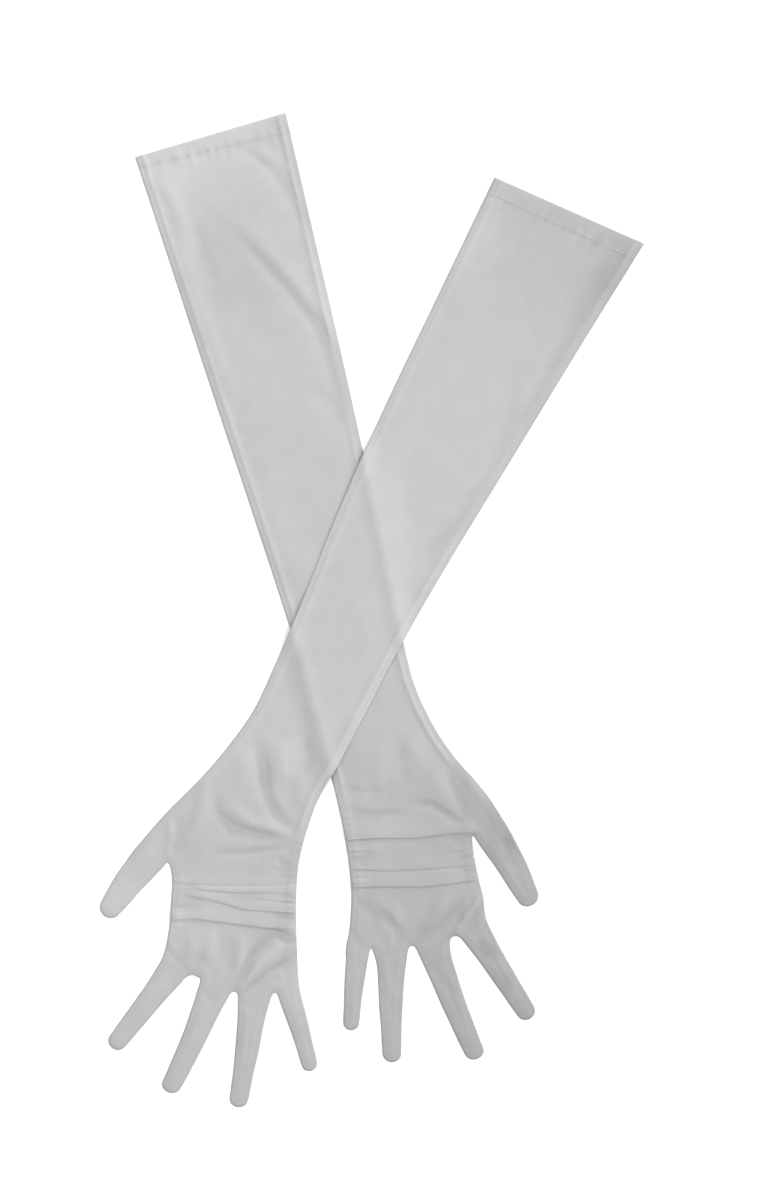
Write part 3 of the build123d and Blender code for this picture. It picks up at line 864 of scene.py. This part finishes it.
    def fold_pleats(self, points: np.ndarray) -> np.ndarray:
        """Where the palm panel's points go, across the table, as its pleats fold over."""
        places = self.frames.in_hand(points)
        depth = self.depth(points)
        moved = places.copy()
        hold = smooth_step(depth, 0.2, 3.0)
        for pleat in self.lay.pleats:
            offset, strength = self._to_pleat(places, pleat)
            over = np.interp(offset, (-1.7, -0.8, -0.3, 0.0, 0.3, 1.7), (0, 0.0, -0.1, -0.2, -0.15, 0))
            on_palm = (places[:, 1] > -95) & (places[:, 0] < 51)
            moved[:, 1] += np.where(on_palm, over * strength * hold * min(pleat.height, 1.0), 0.0)
        return self.frames.hand(moved)


def colour(code: str) -> tuple[float, float, float, float]:
    """A six-digit sRGB code as the linear colour that nodes take."""
    channels = [int(code[i : i + 2], 16) / 255 for i in (0, 2, 4)]
    return (*(c / 12.92 if c <= 0.04045 else ((c + 0.055) / 1.055) ** 2.4 for c in channels), 1.0)


def add(material: bpy.types.Material, kind: str, settings: dict | None = None, **links) -> bpy.types.Node:
    """Adds one shader node.

    Args:
        material: The material it goes in.
        kind: The node's type, without its ShaderNode prefix.
        settings: Properties by name, and input values by socket name or number.
        **links: Sockets to link from, by input name with underscores for spaces, or
            by in_ and a number.

    Returns:
        The node.
    """
    node = material.node_tree.nodes.new("ShaderNode" + kind)
    for name, value in (settings or {}).items():
        if isinstance(name, str) and hasattr(node, name):
            setattr(node, name, value)
        else:
            node.inputs[name].default_value = value
    for name, socket in links.items():
        place = int(name[3:]) if name.startswith("in_") else name.replace("_", " ")
        material.node_tree.links.new(node.inputs[place], socket)
    return node


def new_material(name: str) -> bpy.types.Material:
    """An empty material with nodes."""
    material = bpy.data.materials.new(name)
    material.use_nodes = True
    material.node_tree.nodes.clear()
    return material


def dyed(material: bpy.types.Material, low: str, high: str, share) -> bpy.types.NodeSocket:
    """A colour between two.

    Args:
        material: The material it goes in.
        low: The sRGB code where the share is 0.
        high: The sRGB code where the share is 1.
        share: The socket that gives the share.

    Returns:
        The colour's socket.
    """
    colours = {"data_type": "RGBA", 6: colour(low), 7: colour(high)}
    return add(material, "Mix", colours, in_0=share).outputs[2]


def finished(material: bpy.types.Material, settings: dict, **links) -> bpy.types.Material:
    """The material, with its surface linked to its output."""
    surface = add(material, "BsdfPrincipled", settings, **links)
    add(material, "OutputMaterial", None, Surface=surface.outputs[0])
    return material


@dataclass(frozen=True)
class NetFinish:
    """Fine warp-knitted stretch net.

    Attributes:
        name: The finish, in words.
        thread: The thread's colour where the net is stretched least and painted shade is deepest.
        pale: Its colour where the net is stretched most and more light comes through, and where painted
            highlights are.
        cover: The share of the surface that the threads cover.
        pitch: Width of one wale of the knit, in metres.
        relief: How far the threads stand up, in metres.
    """

    name: str
    thread: str
    pale: str
    cover: float
    pitch: float = 0.0007
    relief: float = 0.00004

    def build(self) -> bpy.types.Material:
        """Makes the material. The knit lies on the UV map, which is in metres."""
        material = new_material(self.name)
        flat = add(material, "UVMap", {"uv_map": "cloth"}).outputs["UV"]
        wale = {"wave_type": "BANDS", "bands_direction": "X", "Scale": 0.314 / self.pitch}
        course = {"wave_type": "BANDS", "bands_direction": "Y", "Scale": 0.224 / self.pitch}
        wales = add(material, "TexWave", {**wale, "Distortion": 1.2, "Detail Scale": 3.0}, Vector=flat)
        courses = add(material, "TexWave", {**course, "Distortion": 0.8}, Vector=flat)
        both = {"in_0": wales.outputs["Fac"], "in_1": courses.outputs["Fac"]}
        knit = add(material, "Math", {"operation": "MULTIPLY"}, **both)
        uneven = add(material, "TexNoise", {"Scale": 60.0, "Detail": 4.0, "Roughness": 0.6}, Vector=flat)
        # The colour follows how close the net lies, with painted shade and painted highlights mixed in
        density_and_painted_light = add(material, "Attribute", {"attribute_name": "closeness"}).outputs["Fac"]
        more = {"operation": "MULTIPLY_ADD", 1: 0.3}
        density_and_painted_light = add(material, "Math", more, in_0=uneven.outputs["Fac"], in_2=density_and_painted_light).outputs[0]
        density_and_painted_light = add(material, "Math", {"operation": "SUBTRACT", 1: 0.15, "use_clamp": True}, in_0=density_and_painted_light)
        dye = dyed(material, self.pale, self.thread, density_and_painted_light.outputs[0])
        # Painted shade in the knit's low places and a painted highlight on its threads, following its bump
        hollow = add(material, "MapRange", {"To Min": 0.965, "To Max": 1.02}, Value=knit.outputs[0])
        times = {"data_type": "RGBA", "blend_type": "MULTIPLY", 0: 1.0}
        shade = add(material, "Mix", times, in_6=dye, in_7=hollow.outputs[0])
        bump = add(material, "Bump", {"Strength": 0.25, "Distance": self.relief}, Height=knit.outputs[0])
        cloth = {
            "Roughness": 0.62,
            "Alpha": self.cover,
            "Specular IOR Level": 0.25,
            "Sheen Weight": 0.15,
            "Sheen Roughness": 0.5,
        }
        return finished(material, cloth, Base_Color=shade.outputs[2], Normal=bump.outputs[0])


@dataclass(frozen=True)
class ThreadFinish:
    """Twisted sewing thread or braided elastic.

    Attributes:
        name: The finish, in words.
        thread: Its colour.
        groove_shade: The colour between its strands, painted shade where the bump is low.
        twist: Length of one turn of the twist, in metres.
    """

    name: str
    thread: str
    groove_shade: str
    twist: float

    def build(self) -> bpy.types.Material:
        """Makes the material. The strands cross the object at a slant."""
        material = new_material(self.name)
        place = add(material, "TexCoord").outputs["Object"]
        slant = {"wave_type": "BANDS", "bands_direction": "DIAGONAL", "Scale": 0.314 / self.twist}
        strands = add(material, "TexWave", slant, Vector=place).outputs["Fac"]
        # Painted shade between the strands, darker where the twist's bump is low
        dye = dyed(material, self.groove_shade, self.thread, strands)
        bump = add(material, "Bump", {"Strength": 0.3, "Distance": 0.0001}, Height=strands)
        thread = {"Roughness": 0.55, "Specular IOR Level": 0.3}
        return finished(material, thread, Base_Color=dye, Normal=bump.outputs[0])


@dataclass(frozen=True)
class PaperFinish:
    """The matt white paper of the studio table."""

    name: str
    light: str
    dark: str

    def build(self) -> bpy.types.Material:
        """Makes the material, with the paper's faint tooth."""
        material = new_material(self.name)
        place = add(material, "TexCoord").outputs["Object"]
        tooth = add(material, "TexNoise", {"Scale": 900.0, "Detail": 2.0}, Vector=place).outputs["Fac"]
        dye = dyed(material, self.dark, self.light, tooth)
        return finished(material, {"Roughness": 0.95}, Base_Color=dye)


# Fine stretch net in one layer: soft, hardly shiny, and darker where it is bunched and where shade is painted
# on
NET = NetFinish("Sheer knit net, pale grey", thread="9C9C9B", pale="C9C9CC", cover=0.76)
# The same net in two layers at the seam allowances, which lets less of the table through
DOUBLED = NetFinish("Sheer knit net, folded double", thread="C4C4C6", pale="D2D2D4", cover=0.8)
# The same net turned in at the cuff
HEM_NET = NetFinish("Sheer knit net, turned hem", thread="C8C8CA", pale="CDCDCF", cover=0.6)
# Narrow braided elastic along the gathered edges of the hand
ELASTIC = ThreadFinish("Braided elastic, grey", thread="C0C0C2", groove_shade="A6A6A8", twist=0.0011)
# Sewing thread, paler than the net it holds
THREAD = ThreadFinish("Twisted sewing thread, pale grey", thread="DCDCDD", groove_shade="B9B9BB", twist=0.0008)
# Uncoated white paper of a studio table
PAPER = PaperFinish("Matt white studio paper", light="FFFFFF", dark="FBFBFB")


@dataclass
class Mesh:
    """Vertices and faces of one piece, in metres, with what its finish needs."""

    points: np.ndarray
    faces: list[tuple[int, ...]]
    flat: np.ndarray | None = None
    normals: np.ndarray | None = None
    closeness: np.ndarray | None = None

    def make(self, name: str, material: bpy.types.Material, slot: str) -> bpy.types.Object:
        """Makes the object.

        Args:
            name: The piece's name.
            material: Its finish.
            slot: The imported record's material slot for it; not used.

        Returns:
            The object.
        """
        data = bpy.data.meshes.new(name)
        data.from_pydata([tuple(p) for p in self.points], [], [tuple(map(int, f)) for f in self.faces])
        piece = bpy.data.objects.new(name, data)
        bpy.context.scene.collection.objects.link(piece)
        data.polygons.foreach_set("use_smooth", [True] * len(data.polygons))
        if self.flat is not None:
            corners = np.array([loop.vertex_index for loop in data.loops])
            layer = data.uv_layers.new(name="cloth")
            layer.data.foreach_set("uv", self.flat[corners].astype(np.float32).ravel())
        if self.closeness is not None:
            values = data.attributes.new("closeness", "FLOAT", "POINT")
            values.data.foreach_set("value", self.closeness.astype(np.float32))
        if self.normals is not None:
            data.normals_split_custom_set_from_vertices([tuple(n) for n in self.normals])
        data.materials.append(material)
        data.update()
        return piece


def vertex_normals(points: np.ndarray, faces: np.ndarray) -> np.ndarray:
    """The smooth normal at each point of a mesh of triangles."""
    first, second, third = points[faces[:, 0]], points[faces[:, 1]], points[faces[:, 2]]
    area = np.cross(second - first, third - first)
    total = np.zeros_like(points)
    for corner in range(3):
        np.add.at(total, faces[:, corner], area)
    length = np.linalg.norm(total, axis=1)
    length[length == 0] = 1
    return total / length[:, None]


def face_area(points: np.ndarray, faces: np.ndarray) -> float:
    """The area of a mesh of triangles."""
    first, second, third = points[faces[:, 0]], points[faces[:, 1]], points[faces[:, 2]]
    return float(np.linalg.norm(np.cross(second - first, third - first), axis=1).sum() / 2)


class Pattern:
    """The flat triangles of one glove, cut along its fold lines."""

    def __init__(self, cloth: Cloth) -> None:
        """Fills the outline with triangles, close together where the cloth is gathered.

        Args:
            cloth: The glove's cloth, which knows its outline.
        """
        self.cloth = cloth
        outline = cloth.outline
        ring = outline.ring
        points = [ring]
        edges = [(i, (i + 1) % len(ring)) for i in range(len(ring))]
        count = len(ring)
        self.fold_ends = {}
        for name, (start, end) in outline.folds.items():
            first, last = (int(np.argmin(np.linalg.norm(ring - p, axis=1))) for p in (start, end))
            self.fold_ends[name] = (first, last)
            steps = max(2, round(np.linalg.norm(end - start) / OUTLINE_STEP))
            shares = np.arange(1, steps)[:, None] / steps
            line = ring[first] * (1 - shares) + ring[last] * shares
            chain = [first, *range(count, count + len(line)), last]
            edges.extend(zip(chain, chain[1:]))
            points.append(line)
            count += len(line)
        points.append(self._inner_points())
        given = np.vstack(points)
        found, _, triangles, *_ = delaunay_2d_cdt([Vector(p) for p in given], edges, [], 1, 1e-4)
        self.points = np.array([tuple(p) for p in found])
        self.triangles = np.array([tuple(t) for t in triangles])
        first, second, third = (self.points[self.triangles[:, i]] for i in range(3))
        turn = np.cross(second - first, third - first)
        flip = turn < 0
        self.triangles[flip] = self.triangles[flip][:, ::-1]
        self.triangles = self.triangles[np.abs(turn) > 1e-7]
        self.pieces = self._cut()

    def _inner_points(self) -> np.ndarray:
        """Points inside the outline, clear of its edge and its fold lines."""
        frames, outline, lay = self.cloth.frames, self.cloth.outline, self.cloth.lay
        rows = [self._hexagons(outline.ring, GRID_HAND)]
        sleeve = frames.in_sleeve(rows[0])
        coarse = self._hexagons(outline.ring, GRID_SLEEVE)
        up = frames.in_sleeve(coarse)[:, 1]
        rows = [rows[0][sleeve[:, 1] < FINE_UP_TO], coarse[(up >= FINE_UP_TO) & (up < HEM_FROM - 1)]]
        (_, low), (_, high) = lay.cuff
        columns = np.arange(-HEM_HALF, HEM_HALF + 1, GRID_HEM)
        hem = np.array([(u, v) for v in np.arange(HEM_FROM, max(low, high), GRID_HEM) for u in columns])
        rows.append(frames.sleeve(hem))
        for pleat in lay.pleats:
            line = through(np.array(pleat.path, float), 1.1)
            in_row = [frames.hand(line + (0.0, offset)) for offset in PLEAT_ROWS]
            rows = [self._clear(row, frames.hand(line), 2.1) for row in rows]
            rows.extend(in_row)
        inner = np.vstack(rows)
        inner = inner[inside(inner, outline.ring)]
        depth = self.cloth.depth(inner)
        on_sleeve = frames.in_sleeve(inner)[:, 1] > 0
        inner = inner[depth > np.where(on_sleeve, EDGE_ROWS[-1] + 0.7, EDGE_ROWS[2] + 0.5)]
        for reach in EDGE_ROWS:
            row = outline.edge + reach * outline.inward
            row = row[inside(row, outline.ring)]
            if reach > EDGE_ROWS[2]:
                row = row[frames.in_sleeve(row)[:, 1] > 0]
            inner = np.vstack([inner, row[self.cloth.depth(row) > 0.85 * reach]])
        for start, end in outline.folds.values():
            inner = self._clear(inner, np.array([start, end]), 0.7)
        inner = self._clear(inner, outline.mouth, 0.7)
        return self._spread(inner)

    @staticmethod
    def _spread(points: np.ndarray) -> np.ndarray:
        """The points, less any nearly on top of another."""
        _, kept = np.unique(np.round(points / 0.28), axis=0, return_index=True)
        return points[np.sort(kept)]

    @staticmethod
    def _clear(points: np.ndarray, line: np.ndarray, reach: float) -> np.ndarray:
        """The points further than reach from a line."""
        return points[to_line(points, line)[0] > reach]

    @staticmethod
    def _hexagons(ring: np.ndarray, pitch: float) -> np.ndarray:
        """A triangular grid of points over the ring."""
        low, high = ring.min(0), ring.max(0)
        across, up = np.arange(low[0], high[0], pitch), np.arange(low[1], high[1], pitch * 0.866)
        x, y = np.meshgrid(across, up)
        x = x + (np.arange(len(x)) % 2)[:, None] * pitch / 2
        grid = np.stack([x.ravel(), y.ravel()], axis=1)
        return grid[inside(grid, ring)]

    def _cut(self) -> dict[str, np.ndarray]:
        """The triangles of each piece, by its body's name without the glove's."""
        middle = self.points[self.triangles].mean(1)
        level = self.cloth.frames.in_sleeve(middle)[:, 1]
        pieces = {
            "upper_sleeve": level > ELBOW,
            "forearm": (level <= ELBOW) & (level > 0),
            "hand": level <= 0,
        }
        for finger in FINGERS:
            first, last = self.fold_ends[finger]
            beyond = inside(middle, self.cloth.outline.ring[first : last + 1])
            pieces[finger] = beyond
            pieces["hand"] = pieces["hand"] & ~beyond
        return {name: self.triangles[chosen] for name, chosen in pieces.items()}


@dataclass
class Glove:
    """One glove: its panels, seams, gathers and hem."""

    cloth: Cloth
    materials: dict[str, bpy.types.Material]
    rests_on: tuple[str, ...] = ()
    sewn_in: dict[str, list] = field(default_factory=dict)

    def __post_init__(self) -> None:
        """Cuts the glove and works out where its two panels lie."""
        self.name = self.cloth.lay.name
        self.pattern = Pattern(self.cloth)
        flat = self.pattern.points
        laid = self.cloth.fold_pleats(flat)
        palm = np.column_stack([laid, self.cloth.palm(flat)])
        back = np.column_stack([flat, self.cloth.back(flat)])
        edge = self.cloth.depth(flat) < 1e-3
        palm[edge] = back[edge]
        self.palm, self.back = palm * MM, back * MM
        triangles = self.pattern.triangles
        self.palm_normals = vertex_normals(self.palm, triangles)
        self.back_normals = vertex_normals(self.back, triangles[:, ::-1])
        self.flat = self.cloth.frames.in_sleeve(flat) * MM
        self.closeness = self.cloth.closeness(flat)

    def _panel(self, faces: np.ndarray, palm: bool) -> Mesh:
        """The mesh of some of the triangles, on the palm or the back."""
        used, numbers = np.unique(faces, return_inverse=True)
        corners = numbers.reshape(-1, 3)
        points, normals = (self.palm, self.palm_normals) if palm else (self.back, self.back_normals)
        if not palm:
            corners = corners[:, ::-1]
        return Mesh(points[used], corners, self.flat[used], normals[used], self.closeness[used])

    def _attach(self, piece: bpy.types.Object, part: str) -> None:
        """Parents a forearm piece to its body and bakes any other piece's place into its mesh."""
        body = f"{self.name}_{part}"
        if part == "forearm":
            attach(piece, body)
        else:
            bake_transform(piece)
        log.info("%s: %d faces", piece.name, len(piece.data.polygons))

    def _declare(self, mesh: Mesh, area: float) -> None:
        """Works out a sheet's own flat size and its share of that, and does nothing with them.

        Args:
            mesh: Its mesh, with its flat places.
            area: Its cut area, in square metres.
        """
        low, high = mesh.flat.min(0), mesh.flat.max(0)
        width, length = high - low
        width *= max(1.0, area / (width * length))

    def panels(self) -> None:
        """Makes the palm and back panels of every piece."""
        level = np.column_stack([self.flat, np.zeros(len(self.flat))])
        for part, faces in self.pattern.pieces.items():
            area = face_area(level, faces)
            for side in ("palm", "back"):
                mesh = self._panel(faces, side == "palm")
                piece = mesh.make(f"{self.name}_{part}_{side}_net", self.materials["net"], "stretch_mesh")
                self._attach(piece, part)
                self._declare(mesh, area)
                if part not in FINGERS:
                    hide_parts(f"{self.name}_{part}_{side}_panel")
                elif side == "palm":
                    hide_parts(f"{self.name}_{part}")

    def seam(self, name: str, part: str, first: int, last: int, width: float, nodes: tuple[str, ...]) -> None:
        """Makes the turned-in edge of a seam, which lies under the palm panel.

        Args:
            name: The seam's name, without the glove's.
            part: The body it is on, without the glove's name.
            first: Where it starts on the outline.
            last: Where it ends on the outline.
            width: How wide the turned-in edge is, in millimetres.
            nodes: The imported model's nodes that it stands for.
        """
        run = self.cloth.outline.edge[first : last + 1]
        inward = self.cloth.outline.inward[first : last + 1]
        reaches = np.linspace(0.25, width, 5)
        places = np.vstack([run + reach * inward for reach in reaches])
        palm, back = self.cloth.palm(places), self.cloth.back(places)
        points = np.column_stack([places, back + 0.62 * (palm - back)]) * MM
        count = len(run)
        faces = []
        for row in range(len(reaches) - 1):
            for i in range(count - 1):
                a, b = row * count + i, row * count + i + 1
                faces.append((a, b, b + count, a + count))
        corners = points[list(faces[0])]
        if np.cross(corners[1] - corners[0], corners[2] - corners[0])[2] < 0:
            faces = [face[::-1] for face in faces]
        along = np.concatenate([[0], np.cumsum(np.linalg.norm(np.diff(run, axis=0), axis=1))]) * MM
        flat = np.column_stack([np.repeat(reaches, count) * MM, np.tile(along, len(reaches))])
        mesh = Mesh(points, faces, flat, None, np.full(len(points), 0.4))
        piece = mesh.make(f"{self.name}_{name}", self.materials["doubled"], "seam_allowance")
        self._attach(piece, part)
        self.sewn_in.setdefault(part, []).append(piece)
        if nodes:
            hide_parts(*(f"{self.name}_{node}" for node in nodes))

    def seams(self) -> None:
        """Makes every side seam, and the seams of the hand and the fingers."""
        ends = self.pattern.fold_ends
        last = len(self.cloth.outline.edge) - 1
        elbow, wrist = ends["upper_sleeve"], ends["hand"]
        runs = {
            ("upper_sleeve", Side.LITTLE): (0, elbow[0]),
            ("upper_sleeve", Side.THUMB): (elbow[1], last),
            ("forearm", Side.LITTLE): (elbow[0], wrist[0]),
            ("forearm", Side.THUMB): (wrist[1], elbow[1]),
        }
        for (part, side), run in runs.items():
            node = f"{part}_{side.name.lower()}_seam"
            self.seam(f"{node}_edge", part, *run, SEAM_SLEEVE, (node,))
        little, index, thumb = ends["little_finger"], ends["index_finger"], ends["thumb"]
        self.seam("hand_little_seam_edge", "hand", wrist[0], little[0], SEAM_HAND, ("hand_seam",))
        self.seam("hand_index_seam_edge", "hand", index[1], thumb[0], SEAM_HAND, ())
        self.seam("hand_thumb_seam_edge", "hand", thumb[1], wrist[1], SEAM_HAND, ())
        for finger in FINGERS:
            self.seam(f"{finger}_seam_edge", finger, *ends[finger], SEAM_FINGER, ())

    def hem(self) -> None:
        """Makes the cuff's turned-in hem, inside both panels."""
        faces = self.pattern.pieces["upper_sleeve"]
        places = self.cloth.frames.in_sleeve(self.pattern.points[faces].mean(1))
        faces = faces[self.cloth.to_hem(places) > 0]
        used = np.unique(faces)
        inward = np.minimum(0.22 * MM, 0.3 * (self.palm[used, 2] - self.back[used, 2]))
        meshes = []
        for palm in (True, False):
            mesh = self._panel(faces, palm)
            mesh.points[:, 2] += -inward if palm else inward
            meshes.append(mesh)
        for mesh, side in zip(meshes, ("palm", "back")):
            piece = mesh.make(f"{self.name}_{side}_hem", self.materials["hem"], "hem_band")
            self._attach(piece, "upper_sleeve")
            self.sewn_in.setdefault("upper_sleeve", []).append(piece)
            if side == "palm":
                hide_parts(f"{self.name}_cuff_hem")

    def stitches(self) -> None:
        """Makes the zigzag of thread along the hem, on both sides of the cuff."""
        frames, lay = self.cloth.frames, self.cloth.lay
        low, high = lay.cuff[0][0] + STITCH, lay.cuff[1][0] - STITCH
        count = int((high - low) / STITCH)
        across = low + (high - low) * np.arange(count + 1) / count
        line = np.column_stack([across, np.zeros(count + 1)])
        level = -self.cloth.to_hem(line) + np.where(np.arange(count + 1) % 2 == 0, 0.4, 2.2)
        corners = np.column_stack([across, level])
        points, faces = [], []
        for side in ("palm", "back"):
            for start, end in zip(corners, corners[1:]):
                shares = np.linspace(0.08, 0.92, 5)[:, None]
                line = start * (1 - shares) + end * shares
                lift = 0.12 * np.sin(np.pi * np.linspace(0, 1, 5))
                place = frames.sleeve(line)
                if side == "palm":
                    height = self.cloth.palm(place) + lift
                else:
                    height = self.cloth.back(place) - 0.3 * lift
                tube(points, faces, np.column_stack([place, height]), 0.12)
        mesh = Mesh(np.array(points) * MM, faces)
        piece = mesh.make(f"{self.name}_hem_zigzag", self.materials["thread"], "stitching_thread")
        self._attach(piece, "upper_sleeve")
        self.sewn_in.setdefault("upper_sleeve", []).append(piece)
        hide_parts(f"{self.name}_hem_stitches")

    def elastics(self) -> None:
        """Makes the two elastics that gather the hand, one along each side seam."""
        frames = self.cloth.frames
        ends = self.pattern.fold_ends
        top, end = self.cloth.lay.gather
        edge = self.cloth.outline.edge[ends["hand"][0] : ends["little_finger"][0]]
        places = frames.in_hand(edge)
        chosen = (places[:, 1] < top - 2) & (places[:, 1] > end + 2) & (np.abs(places[:, 0]) < 50)
        runs = {
            Side.LITTLE: edge[chosen] + 4.2 * frames.hand_across,
            Side.THUMB: frames.hand([(46.2, v) for v in np.arange(end + 3, top - 22, 1.5)]),
        }
        for side, run in runs.items():
            name = side.name.lower()
            wave = 0.25 * np.sin(np.arange(len(run)) * 1.3)
            line = run + wave[:, None] * frames.hand_across
            back, palm = self.cloth.back(line), self.cloth.palm(line)
            points, faces = [], []
            tube(points, faces, np.column_stack([line, back + 0.42 * (palm - back)]), 0.7, 0.16)
            mesh = Mesh(np.array(points) * MM, faces)
            piece = mesh.make(f"{self.name}_{name}_gather", self.materials["elastic"], "gathering_elastic")
            self._attach(piece, "hand")
            self.sewn_in.setdefault("hand", []).append(piece)
            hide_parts(f"{self.name}_hand_{name}_elastic")

    def build(self) -> None:
        """Makes every piece of the glove."""
        self.seams()
        self.hem()
        self.stitches()
        self.elastics()
        self.panels()


def tube(points: list, faces: list, line: np.ndarray, wide: float, high: float | None = None) -> None:
    """Adds a closed tube along a line, flattened where high is less than wide.

    Args:
        points: The mesh's points so far, which it adds to.
        faces: The mesh's faces so far, which it adds to.
        line: The tube's middle line.
        wide: Half its width across the table.
        high: Half its height, or None for a round tube.
    """
    high = wide if high is None else high
    count = 6
    heading = np.gradient(line, axis=0)
    heading /= np.linalg.norm(heading, axis=1)[:, None]
    across = np.cross(heading, (0.0, 0.0, 1.0))
    across /= np.linalg.norm(across, axis=1)[:, None]
    up = np.cross(across, heading)
    start = len(points)
    for place, beside, above in zip(line, across, up):
        for turn in np.arange(count) * 2 * math.pi / count:
            points.append(place + wide * math.cos(turn) * beside + high * math.sin(turn) * above)
    for ring in range(len(line) - 1):
        for i in range(count):
            a, b = start + ring * count + i, start + ring * count + (i + 1) % count
            faces.append((a, b, b + count, a + count))
    last = start + (len(line) - 1) * count
    faces.append(tuple(range(start + count - 1, start - 1, -1)))
    faces.append(tuple(range(last, last + count)))


@dataclass(frozen=True)
class Studio:
    """The white table, its lights and the camera straight above.

    Attributes:
        middle: The point the camera is over, in millimetres.
        height: The height of the picture on the table, in millimetres.
        lens: The camera's focal length, in millimetres: long, so that it hangs far above.
        floor: The width of the table, in metres, past what any view shows.
    """

    middle: Point = (12.7, 6.8)
    height: float = 729.6
    lens: float = 250.0
    floor: float = 60.0

    def table(self) -> None:
        """Makes the white table under the gloves."""
        bpy.ops.mesh.primitive_plane_add(size=self.floor, location=(0, 0, 0))
        floor = bpy.context.object
        floor.name = "studio_table"
        floor.data.materials.append(PAPER.build())

    def lights(self) -> None:
        """Lights the table evenly from all round, and more from the right at a low angle."""
        world = bpy.data.worlds.new("studio")
        bpy.context.scene.world = world
        world.use_nodes = True
        sky = world.node_tree.nodes["Background"]
        sky.inputs["Color"].default_value = (1, 1, 1, 1)
        sky.inputs["Strength"].default_value = 0.78
        window = bpy.data.lights.new("window", "SUN")
        window.energy = 2.5
        window.angle = math.radians(42)
        fill = bpy.data.lights.new("fill", "AREA")
        fill.size = 0.8
        fill.energy = 4.5
        for data, place in ((window, (1.5, 0.7, 1.1)), (fill, (-0.5, 0.75, 0.9))):
            lamp = bpy.data.objects.new(data.name, data)
            bpy.context.scene.collection.objects.link(lamp)
            lamp.location = place
            lamp.rotation_euler = (-Vector(place)).to_track_quat("-Z", "Y").to_euler()

    def camera(self) -> None:
        """Hangs the camera straight above the middle of the picture."""
        data = bpy.data.cameras.new("camera")
        data.lens = self.lens
        camera = bpy.data.objects.new("camera", data)
        bpy.context.scene.collection.objects.link(camera)
        above = self.lens * self.height * MM / data.sensor_width
        camera.location = (self.middle[0] * MM, self.middle[1] * MM, above)
        bpy.context.scene.camera = camera
        bpy.context.scene.view_settings.view_transform = "Standard"

    def build(self) -> None:
        """Makes the whole studio."""
        self.table()
        self.lights()
        self.camera()


def main() -> None:
    """Builds the left glove, the right glove over it, and the studio."""
    logging.basicConfig(level=logging.INFO, format="%(message)s")
    materials = {
        "net": NET.build(),
        "doubled": DOUBLED.build(),
        "hem": HEM_NET.build(),
        "elastic": ELASTIC.build(),
        "thread": THREAD.build(),
    }
    beneath = Cloth(Outline(Frames(LEFT)), None)
    left = Glove(beneath, materials, ("studio_table",))
    left.build()
    over = Cloth(Outline(Frames(RIGHT)), beneath)
    right = Glove(over, materials, ("studio_table", "left_forearm_palm_net"))
    right.build()
    Studio().build()


if __name__ == "__main__":
    main()
